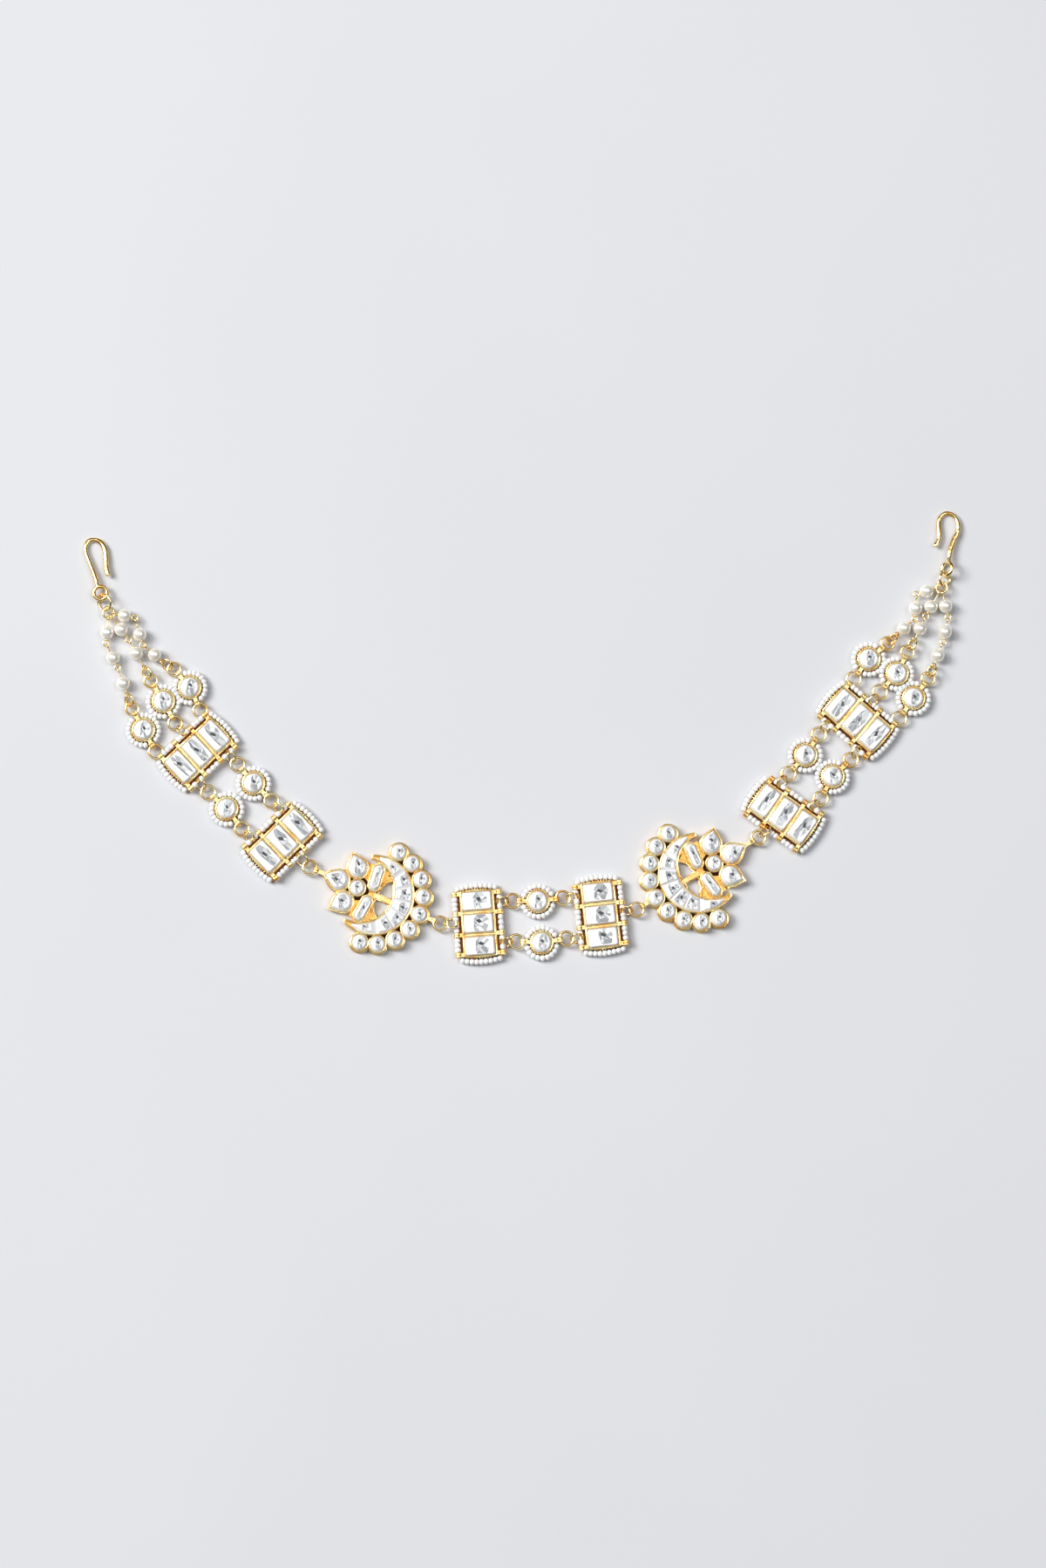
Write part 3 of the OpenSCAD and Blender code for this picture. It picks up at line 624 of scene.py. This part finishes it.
# %% Pearls
pearl_names = [n for n in all_names if n.startswith("pearls_")]
pearl_at, pearl_way = [], []
for n in pearl_names:
    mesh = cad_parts[n].data
    pearl_at += [(p.min(0) + p.max(0)) / 2 for p in solids(n)]
    ends = np.array([e.vertices[:] for e in mesh.edges])
    at = np.array([v.co[:] for v in mesh.vertices]) / MM
    leg = at[ends[:, 0]] - at[ends[:, 1]]
    long_legs = np.linalg.norm(leg, axis=1)
    for mid in pearl_at[len(pearl_way):]:
        near = np.linalg.norm(at[ends].mean(1) - mid, axis=1) < 1.0
        leg_here, len_here = leg[near], long_legs[near]
        way = leg_here[len_here > 0.9 * len_here.max()]
        way = way * np.sign(way @ way[0])[:, None]
        pearl_way.append(way.mean(0) / np.linalg.norm(way.mean(0)))

PEARL_R, BORE_R, DIP_WIDE, DIP_DEEP = 2.0, 0.3, 0.7, 0.86
tree, given = new_tree("pearls", [("Radius", "Float"), ("Bore", "Float"), ("Coat", "Material")])
ball = add(tree, "GeometryNodeMeshUVSphere", Segments=40, Rings=24, Radius=(given, "Radius"))
where = add(tree, "GeometryNodeInputPosition")
parts = add(tree, "ShaderNodeSeparateXYZ", Vector=(where, "Position"))
off = add(tree, "ShaderNodeVectorMath", {"operation": "MULTIPLY"})
tree.links.new(where.outputs["Position"], off.inputs[0])
off.inputs[1].default_value = (1, 1, 0)
far = add(tree, "ShaderNodeVectorMath", {"operation": "LENGTH"})
tree.links.new(off.outputs["Vector"], far.inputs[0])
dip = add(tree, "ShaderNodeMapRange", {"interpolation_type": "SMOOTHSTEP"}, Value=(far, "Value"),
          From_Min=(given, "Bore"), To_Min=DIP_DEEP, To_Max=1.0)
dip.inputs["From Max"].default_value = DIP_WIDE * MM
low = add(tree, "ShaderNodeVectorMath", {"operation": "MULTIPLY"})
tree.links.new(where.outputs["Position"], low.inputs[0])
flat = add(tree, "ShaderNodeCombineXYZ", X=1.0, Y=1.0, Z=(dip, "Result"))
tree.links.new(flat.outputs["Vector"], low.inputs[1])
shaped = add(tree, "GeometryNodeSetPosition", Geometry=(ball, "Mesh"), Position=(low, "Vector"))
put = add(tree, "GeometryNodeInstanceOnPoints", Points=(given, "Geometry"),
          Instance=(shaped, "Geometry"), Rotation=laid(tree))
end_tree(tree, (put, "Instances"), (given, "Coat"))
pearls = grow("pearls", tree, pearl_at,
              {"Radius": PEARL_R * MM, "Bore": BORE_R * MM, "Coat": pearl},
              turn=[turned(w, 0) for w in pearl_way])
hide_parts(*pearl_names)

# %% [markdown]
# ## Cut stones
# The stones are clear glass with a mirror foil behind. Seen from above, the facets at the
# back throw the light back in shards: white towards the window, grey away from it, and one dark
# where nothing is mirrored. The shards are cut here as real facets, and what each one mirrors is
# painted on it as a fixed tone: painted reflection.

# %% Shards of a stone
def split(shapes, normal, offset):
    """Every convex shape cut in two where a straight line crosses it."""
    parts = []
    for shape in shapes:
        side = shape @ normal - offset
        for sign in (1, -1):
            out = []
            for k in range(len(shape)):
                a, b = side[k - 1] * sign, side[k] * sign
                if (a > 0) != (b > 0):
                    out.append(shape[k - 1] + (shape[k] - shape[k - 1]) * a / (a - b))
                if b > 0:
                    out.append(shape[k])
            if len(out) > 2:
                parts.append(np.array(out))
    return parts


def toward(degrees):
    """The direction at an angle."""
    return np.array([math.cos(math.radians(degrees)), math.sin(math.radians(degrees))])


# Lines across a table, by their direction and how far they are from its middle. They bound the
# painted reflection: the grey patch, the inner cuts and the dark spot.
GREY_PATCH = ((153, 0.53), (180, 0.32), (206, 0.6), (26, 0.84), (-14, 0.74), (270, 0.94))
INNER_CUTS = ((172, 0.12), (205, 0.3), (60, 0.25), (-38, 0.2), (100, -0.4), (15, 0.35),
              (20, -0.05))
DARK_SPOT = ((0, 0.25), (90, 0.15), (180, 0.2), (270, 0.16))
DARK, CROWN_WIDE = 0.045, 0.62


def depth(at, lines):
    """How far a place is inside the area that some lines close in; less than nothing outside."""
    return min(r - at @ m for m, r in lines)


def shard_tone(inside, at):
    """Painted reflection of a shard: white outside the grey patch, dull along its edge on the
    left.
    """
    if inside < 0:
        return 1.0
    dull = inside < 0.12 and at[0] < 0.2
    return rng.choice((0.22, 0.36, 0.5) if dull else (0.36, 0.5, 0.7, 0.92))


def shards(points, grow_by=1.0):
    """Points, faces and painted reflections of one stone: foot, belt, crown and its table's
    shards.
    """
    outline, mid, waist = outline_of(points)
    low, high = points[:, 2].min(), points[:, 2].max()
    spread = (outline - mid) * grow_by
    n = len(outline)
    edges = np.roll(outline, -1, 0) - outline
    length = np.linalg.norm(edges, axis=1)
    v = edges[length.argmax()] / length.max() if length.max() > 1.6 * length.mean() else toward(90)
    if abs(v[1]) < 0.6:
        v = np.array([-v[1], v[0]])
    v = v * (1 if v[1] > 0 else -1)
    frame_of = np.array([[v[1], -v[0]], v])
    across = np.linalg.norm(spread, axis=1).min()
    inset = 1 - CROWN_WIDE / max(across, 1.3)
    rows = [(low, 0.72), (waist - 0.25, 0.99), (waist, 1.0),
            (waist + 0.6 * (high - waist), (1 + inset) / 2), (high, inset)]
    spots = [np.r_[mid + q * k, z] for z, k in rows for q in spread]
    faces, tones = [tuple(range(n))[::-1]], [0.5]
    for r in range(len(rows) - 1):
        for k in range(n):
            a, b = r * n + k, r * n + (k + 1) % n
            faces.append((a, b, b + n, a + n))
            tones.append(rng.uniform(0.85, 1.0))
    table = mid + spread * inset
    half = np.abs((table - mid) @ frame_of.T).max(0)
    lean, push = rng.uniform(-8, 8), rng.uniform(-0.05, 0.05)
    patch = [(toward(a + lean), r + push) for a, r in GREY_PATCH]
    cuts = [(toward(a + rng.uniform(-12, 12)), r + rng.uniform(-0.1, 0.1)) for a, r in INNER_CUTS]
    spot = np.array([rng.uniform(0.0, 0.14), rng.uniform(0.12, 0.3)])
    tilt = rng.uniform(-75, -35)
    sides = [(toward(tilt + a), spot @ toward(tilt + a) + r)
             for a, r in DARK_SPOT]
    shapes = [(table - mid) @ frame_of.T / half]
    for normal, offset in patch + cuts + sides:
        shapes = split(shapes, normal, offset)
    known = {}
    for shape in shapes:
        at = shape.mean(0)
        if np.ptp(shape, 0).min() < 1e-3:
            continue
        ids = []
        for q in shape:
            key = tuple(np.round(q, 3))
            if key not in known:
                known[key] = len(spots)
                sunk = min(0.1, max(0, depth(q, patch))) * rng.random()
                spots.append(np.r_[mid + q * half @ frame_of, high - sunk])
            ids.append(known[key])
        ids = [i for k, i in enumerate(ids) if i != ids[k - 1]]
        if len(ids) > 2:
            faces.append(tuple(ids))
            tones.append(DARK if depth(at, sides) > 0 else shard_tone(depth(at, patch), at))
    return np.array(spots), faces, tones


def tapered(p, others):
    """A stone with its end away from the others drawn together, as in the tip of a crescent."""
    mid = p[:, :2].mean(0)
    away = mid - np.mean([q[:, :2].mean(0) for q in others], 0)
    away /= np.linalg.norm(away)
    reach = (p[:, :2] - mid) @ away
    end = reach > np.quantile(reach, 0.86)
    out = p.copy()
    out[end, :2] += 0.5 * (p[end, :2].mean(0) - p[end, :2])
    return out


def stone_group(name, nodes, grow_by=1.0):
    """All stones of some nodes as one piece of facets with their painted reflection tones."""
    parts, tones = [], []
    for node in nodes:
        loose = solids(node)
        for p in loose:
            if "moon" in node:
                near = sorted(loose, key=lambda q: np.linalg.norm((q - p.mean(0)).mean(0)))[1:3]
                ways = [(q.mean(0) - p.mean(0))[:2] for q in near]
                if ways[0] @ ways[1] > 0:
                    p = tapered(p, near)
            spots, faces, tone = shards(p, grow_by)
            parts.append((spots, faces))
            tones += tone
    mesh = bpy.data.meshes.new(name)
    points, faces = joined(parts)
    mesh.from_pydata([tuple(q) for q in points * MM], [], faces)
    # The tones go into a colour attribute as painted reflection.
    layer = mesh.attributes.new("tint", "FLOAT_COLOR", "CORNER")
    grey = np.repeat(tones, [len(f) for f in faces])
    layer.data.foreach_set("color", np.c_[grey ** 1.1, grey ** 1.05, grey, grey * 0 + 1].ravel())
    mesh.validate()
    piece = keep(name, mesh, foil, smooth=False)
    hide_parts(*nodes)
    print(name, len(faces), "facets")


MOON_GROWTH = 1.045
for name, start, end in (("plate_glass", "plate_", "_stones"),
                         ("charm_glass", "charm_stones", ""),
                         ("round_glass", "crescent_", "_round_stones"),
                         ("moon_glass", "crescent_", "_moon_stones"),
                         ("flower_glass", "crescent_", "_flower_stones")):
    stone_group(name, [n for n in all_names if n.startswith(start) and n.endswith(end)],
                MOON_GROWTH if "moon" in name else 1.0)

# %% [markdown]
# ## Back plates with painted shade
# Plates and charms are soldered to thin back plates. Beside the plates' walls, under the bead
# rows, round the charms and in the gaps between the settings of a crescent, thin strips and
# bands are coloured dark brown as painted shade. Painting it on the metal would need a mask, so
# they lie there as pieces of their own.

# %% Frames of the crescents
ARC, OUTER_R, HOLLOW, HOLLOW_R, MOON_END = 14.2, 11.46, 18.2, 9.57, 18.98
FLOWER = 19.4
crescents = []
for n in ("crescent_left", "crescent_right"):
    mids = np.array([(p.min(0) + p.max(0))[:2] / 2 for p in solids(n + "_round_stones")])
    fit = np.linalg.lstsq(np.c_[2 * mids, np.ones(len(mids))], (mids ** 2).sum(1), rcond=None)[0]
    u = fit[:2] - mids.mean(0)
    u /= np.linalg.norm(u)
    crescents.append((n, fit[:2] - ARC * u, u, np.array([-u[1], u[0]])))
    print(n, "direction", round(math.degrees(math.atan2(u[1], u[0])), 1))


def arc_of(centre, radius, start, end, count):
    """An arc round a place on a crescent's axis, in degrees from the axis."""
    t = np.radians(np.linspace(start, end, count))
    return centre + radius * np.cos(t), radius * np.sin(t)


# %% Back plates
def sheet(flat, low, high):
    """A closed plate between two heights and two outlines with as many points each."""
    n = len(flat[0])
    rows = [np.c_[side, np.full(n, z)] for z in (low, high) for side in flat]
    faces = []
    for k in range(n - 1):
        a, b, c, d = k, n + k, 2 * n + k, 3 * n + k
        faces += [(a, b, b + 1, a + 1), (c, c + 1, d + 1, d), (a, a + 1, c + 1, c),
                  (b, d, d + 1, b + 1)]
    faces += [(0, 2 * n, 3 * n, n), (n - 1, 2 * n - 1, 4 * n - 1, 3 * n - 1)]
    return np.vstack(rows), faces


SHEET = (0.04, 0.17)
STRIP_V, STRIP_U = 9.15, (5.95, 4.7)
JOINT_HIGH, FLOWER_HIGH = 0.8, 1.12
JOINT_BAND, FLOWER_BAND, CHARM_BAND, ROW_BAND = (13.3, 11.3), (3.5, 2.4), (4.1, 2.9), (1.5, 0.3)
parts = []
# Dark strips beside the plates' walls, as painted shade.
for plate in plates:
    for side in (-1, 1):
        v = np.array([-STRIP_V, 0, STRIP_V])
        flat = [on_plate(plate, [side * u] * 3, v * side, 0)[:, :2] for u in STRIP_U]
        parts.append(sheet(flat, *SHEET))
back_plates = keep("back_plates", mesh_of("back_plates", *joined(parts)), gold_shade, smooth=False)
print("back plates", len(parts))
parts = []
# Dark bands in a crescent's gaps, round the charms and under the bead rows, as painted shade.
for crescent in crescents:
    flat = [on_plate(crescent, *arc_of(ARC, r, 92, 268, 40), 0)[:, :2] for r in JOINT_BAND]
    parts.append(sheet(flat, SHEET[0], JOINT_HIGH))
    flat = [on_plate(crescent, *arc_of(FLOWER, r, 0, 360, 40), 0)[:, :2] for r in FLOWER_BAND]
    parts.append(sheet(flat, SHEET[0], FLOWER_HIGH))
for _, mid, _ in charms:
    flat = [np.c_[arc_of(0, r, 0, 360, 40)] + mid for r in CHARM_BAND]
    parts.append(sheet(flat, *SHEET))
for plate in plates:
    for end in (-1, 1):
        flat = [on_plate(plate, ROW_U * end, end * (ROW_V - off), 0)[:, :2] for off in ROW_BAND]
        parts.append(sheet(flat, *SHEET))
back_bands = keep("back_bands", mesh_of("back_bands", *joined(parts)), gold_base, smooth=False)
print("back bands", len(parts))

# %% [markdown]
# ## Rims, feet and grains
# The wall of a setting is rubbed over the stone's edge, which leaves a thin rounded rim all
# round it. The crescents' settings also stand on a foot wire, and ridges run round the windows
# of their sheet. One tree sweeps a fine wire along every outline. Rows of tiny grains, balls of
# melted wire, hide the joint between a setting and its beads.

# %% Rims
def widened(outline, by):
    """A closed outline moved outwards."""
    along = np.roll(outline, -1, 0) - np.roll(outline, 1, 0)
    out = np.c_[along[:, 1], -along[:, 0]]
    return outline + by * out / np.linalg.norm(out, axis=1)[:, None]


WINDOW = [(9.3, 0.8), (13.4, 0.8), (12.6, 4.1), (10.7, 6.0), (9.9, 4.2), (9.2, 2.4)]
ARCH = [(13.9, 0.9), (13.3, 4.2), (11.4, 6.6), (12.6, 7.0)]
RIM_HIGH, RIM, PLATE_RIM, CENTRE_HIGH = 2.56, 0.19, 0.2, 2.76
FOOT_OUT, FOOT_HIGH, FOOT = 0.5, 0.36, 0.3
MOON_RIM, MOON_FOOT, RIDGE, LOW_RIDGE = (2.38, 0.21), (0.4, 0.34), (1.1, 0.24), (1.15, 0.2)
RIM_OUT, PLATE_OUT = 0.2, (0.22, 0.2)
CORNERS = ((-1, -0.93), (-0.97, -1), (0, -1.0), (0.97, -1), (1, -0.93), (1, 0),
           (1, 0.93), (0.97, 1), (0, 1.0), (-0.97, 1), (-1, 0.93), (-1, 0))


def is_centre(node, outline):
    """Whether a stone is the round one in the middle of a flower."""
    size = np.ptp(outline, 0)
    return ("flower" in node and abs(size[0] - size[1]) < 0.25 and len(outline) == 16
            and size.max() < 4.7)


rims = []
for n in all_names:
    if not n.endswith("stones") and not n.startswith("charm_stones") or "moon" in n:
        continue
    for p in solids(n):
        outline, mid, _ = outline_of(p)
        if n.startswith("plate"):
            u, v = next((a, b) for name, _, a, b in plates if n.startswith(name))
            w = np.abs((outline - mid) @ u).max() + PLATE_OUT[0]
            h = np.abs((outline - mid) @ v).max() + PLATE_OUT[1]
            flat = [mid + a * u * w + b * v * h for a, b in CORNERS]
            rims.append((np.array(flat), RIM_HIGH, PLATE_RIM))
        else:
            centre = is_centre(n, outline)
            dense = rounded(np.c_[outline, outline[:, 0] * 0], 0.35, True)[:, :2]
            if "flower" in n and not centre:
                dense = outline
            rims.append((widened(dense, RIM_OUT), CENTRE_HIGH if centre else RIM_HIGH, RIM))
            if not n.startswith("charm"):
                rims.append((widened(dense, FOOT_OUT), FOOT_HIGH, FOOT))
for crescent in crescents:
    tip = math.degrees(math.acos((MOON_END - ARC) / OUTER_R))
    hollow_tip = math.degrees(math.acos((MOON_END - HOLLOW) / HOLLOW_R))
    outer = arc_of(ARC, OUTER_R, tip, 360 - tip, 60)
    inner = arc_of(HOLLOW, HOLLOW_R, 360 - hollow_tip, hollow_tip, 50)
    moon = on_plate(crescent, *np.hstack([outer, inner]), 0)[:, :2]
    rims += [(moon, *MOON_RIM), (moon, *MOON_FOOT)]
    for side in (-1, 1):
        window = np.array(WINDOW) * (1, side)
        arch = np.array(ARCH) * (1, side)
        there_and_back = np.vstack([arch, arch[1:-1][::-1]])
        rims.append((on_plate(crescent, *window.T, 0)[:, :2], *RIDGE))
        rims.append((on_plate(crescent, *there_and_back.T, 0)[:, :2], *LOW_RIDGE))

tree, given = new_tree("rims", [("Sides", "Int"), ("Metal", "Material")])
loops = add(tree, "GeometryNodeMeshToCurve", Mesh=(given, "Geometry"))
swept = add(tree, "GeometryNodeCurveToMesh", Curve=(loops, "Curve"),
            Profile_Curve=circle(tree, (given, "Sides"), 1.0), Scale=carried(tree, "wire"))
end_tree(tree, (swept, "Mesh"), (given, "Metal"))
places = np.vstack([np.c_[flat, np.full(len(flat), z)] for flat, z, _ in rims])
edges, base = [], 0
for flat, _, _ in rims:
    k = len(flat)
    edges += [(base + i, base + (i + 1) % k) for i in range(k)]
    base += k
rim_wires = grow("rims", tree, places, {"Sides": 8, "Metal": gold_bright}, edges,
                 wire=np.hstack([np.full(len(f), r) for f, _, r in rims]) * MM)

# %% Grains
tree, given = new_tree("grains", [("Radius", "Float"), ("Uneven", "Float"), ("Seed", "Int"),
                                  ("Metal", "Material")])
ball = add(tree, "GeometryNodeMeshIcoSphere", Subdivisions=2, Radius=(given, "Radius"))
put = add(tree, "GeometryNodeInstanceOnPoints", Points=(given, "Geometry"),
          Instance=(ball, "Mesh"), Scale=uneven(tree, given))
end_tree(tree, (put, "Instances"), (given, "Metal"))

GRAIN, GRAIN_PITCH, GRAIN_RING, GRAIN_HIGH = 0.27, 0.78, 3.42, 2.0
grain_at = []
for _, mid, _ in charms:
    t = np.linspace(0, 2 * math.pi, 80)
    grain_at.append(spaced(np.c_[mid + GRAIN_RING * np.c_[np.cos(t), np.sin(t)],
                                 np.full(80, GRAIN_HIGH)], GRAIN_PITCH)[0])
for plate in plates:
    for end in (-1, 1):
        edge = on_plate(plate, ROW_U[1:-1] * 0.93, end * (ROW_V[1:-1] - 1.02), GRAIN_HIGH)
        grain_at.append(spaced(rounded(edge, 0.5), GRAIN_PITCH)[0])
grains = grow("grains", tree, np.vstack(grain_at),
              {"Radius": GRAIN * MM, "Uneven": 0.3, "Seed": 5, "Metal": gold_bright})

# %% [markdown]
# ## Hooks
# The shepherd's hooks are bent by hand from thick wire, widened by the hammer and wrapped where
# the shank meets its eye. A smooth curve through the bends of the model carries the wire. Where
# the hammer makes it wider it grows no higher, so its section turns from round to flat.

# %% Hooks
HOOK_LEFT = [
    (-119.12, 45.82, 1.63), (-119.80, 47.95, 1.43), (-120.12, 52.20, 1.03),
    (-120.47, 54.00, 0.86), (-121.37, 55.42, 0.73), (-122.55, 56.30, 0.65),
    (-123.80, 56.57, 0.62), (-124.95, 56.22, 0.65), (-125.75, 55.25, 0.74),
    (-126.00, 53.82, 0.88), (-125.65, 52.07, 1.04), (-124.90, 50.07, 1.23),
    (-123.05, 45.45, 1.66), (-122.22, 42.50, 2.10)]
HOOK_RIGHT = [
    (119.10, 54.38, 1.54), (120.05, 55.95, 1.39), (120.48, 57.70, 1.23), (120.43, 59.82, 1.04),
    (120.40, 61.57, 0.87), (120.85, 63.07, 0.74), (121.78, 64.02, 0.65), (122.95, 64.32, 0.62),
    (124.20, 63.97, 0.65), (125.25, 63.00, 0.74), (125.93, 61.45, 0.89), (126.00, 59.70, 1.05),
    (125.60, 58.07, 1.20), (124.70, 56.50, 1.34), (123.50, 53.07, 1.66), (123.28, 51.20, 1.83),
    (122.87, 49.74, 2.15)]
HOOK_EYES = {"hook_left": (-121.47, 40.75, 2.1, -67, 0, 1.9),
             "hook_right": (122.5, 47.77, 2.15, -100.6, 50, 2.0)}
HAMMERED = [0, 0.07, 0.14, 0.3, 0.42, 0.6, 0.8, 1]
HALF_HIGH, EYE_WIRE = 0.58, 0.57
for name, bends, widths in (
        ("hook_left", HOOK_LEFT, [0.8, 0.84, 0.76, 0.9, 0.66, 0.62, 0.7, 0.66]),
        ("hook_right", HOOK_RIGHT, [0.74, 0.66, 0.66, 0.7, 0.66, 0.68, 0.74, 0.66])):
    wire = rounded(bends, 0.22)
    run = np.linspace(0, 1, len(wire))
    lumps = np.interp(run, np.linspace(0, 1, 26), rng.uniform(-0.05, 0.05, 26))
    wraps = 0.06 * np.sin(run * len(wire) * 0.9) * np.clip((run - 0.8) * 12, 0, 1)
    swell = np.interp(run, HAMMERED, widths) + lumps + wraps
    swell[:3] *= (0.5, 0.8, 0.95)
    pressed = np.minimum(swell, HALF_HIGH) / swell
    wire[:, 2] = np.maximum(wire[:, 2], swell * pressed + 0.01)
    x, y, z, direction, roll, radius = HOOK_EYES[name]
    t = np.linspace(0, 2 * math.pi, 48, endpoint=False)
    flat = [Vector((radius * math.cos(a), radius * math.sin(a), 0)) for a in t]
    spin = Euler((math.radians(roll), 0, 0)).to_matrix()
    spin = Matrix.Rotation(math.radians(direction), 3, "Z") @ spin
    eye = np.array([(spin @ p)[:] for p in flat]) + (x, y, z)
    loop = tube(eye, EYE_WIRE + 0.04 * np.sin(3 * t), 16, True)
    mesh = mesh_of(name + "_wire", *joined([tube(wire, swell, 16, flat=pressed), loop]))
    piece = keep(name + "_wire", mesh, gold_bright)
    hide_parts(name)
print("hooks", len(HOOK_EYES))

# %% [markdown]
# ## Table and light
# A pale, nearly white table takes soft shadows from a large window on the left and a dimmer
# ceiling on the right. A small lamp gives sparks, and a card that matt surfaces don't see keeps
# the metal and the stones bright from above. A brighter sky could fill the shadows as well, but
# it would light the table too, so the world stays one even, faint colour.

# %% Table and light
REACH = 2000
floor_mesh = mesh_of("floor", [(-REACH, -REACH, 0), (REACH, -REACH, 0), (REACH, REACH, 0),
                               (-REACH, REACH, 0)], [(0, 1, 2, 3)])
floor = bpy.data.objects.new("floor", floor_mesh)
bpy.context.scene.collection.objects.link(floor)
paper, t, shader = material("paper", (0.71, 0.72, 0.75), Roughness=0.75)
shade = ramp(t, (noise(t, 6, 3), "Fac"), [(0.3, (0.70, 0.71, 0.74)), (0.7, (0.72, 0.73, 0.76))])
feed(t, shade.outputs["Color"], shader.inputs["Base Color"])
floor_mesh.materials.append(paper)


def softbox(name, place, size, watts, color):
    """A square lamp that faces the middle of the table."""
    lamp = bpy.data.lights.new(name, "AREA")
    lamp.shape, lamp.size, lamp.size_y = "RECTANGLE", size, size
    lamp.energy, lamp.color = watts, color
    box = bpy.data.objects.new(name, lamp)
    box.location = place
    box.rotation_euler = (-Vector(place)).to_track_quat("-Z", "Y").to_euler()
    bpy.context.scene.collection.objects.link(box)
    return box


softbox("window", (-3.0, 1.1, 3.0), 1.9, 185, (1.0, 0.99, 0.97))
softbox("ceiling", (2.2, 0.3, 4.6), 1.7, 56, (0.97, 0.98, 1.0))
softbox("spark", (-1.5, 1.3, 4.2), 0.22, 36, (1.0, 1.0, 1.0))
card = softbox("card", (0.0, 0.4, 4.0), 3.2, 28, (1.0, 1.0, 1.0))
card.visible_diffuse = False
world = bpy.context.scene.world or bpy.data.worlds.new("world")
bpy.context.scene.world = world
world.use_nodes = True
sky = world.node_tree.nodes["Background"]
sky.inputs["Color"].default_value = (0.84, 0.88, 0.94, 1)
sky.inputs["Strength"].default_value = 0.12
print("lights ready")
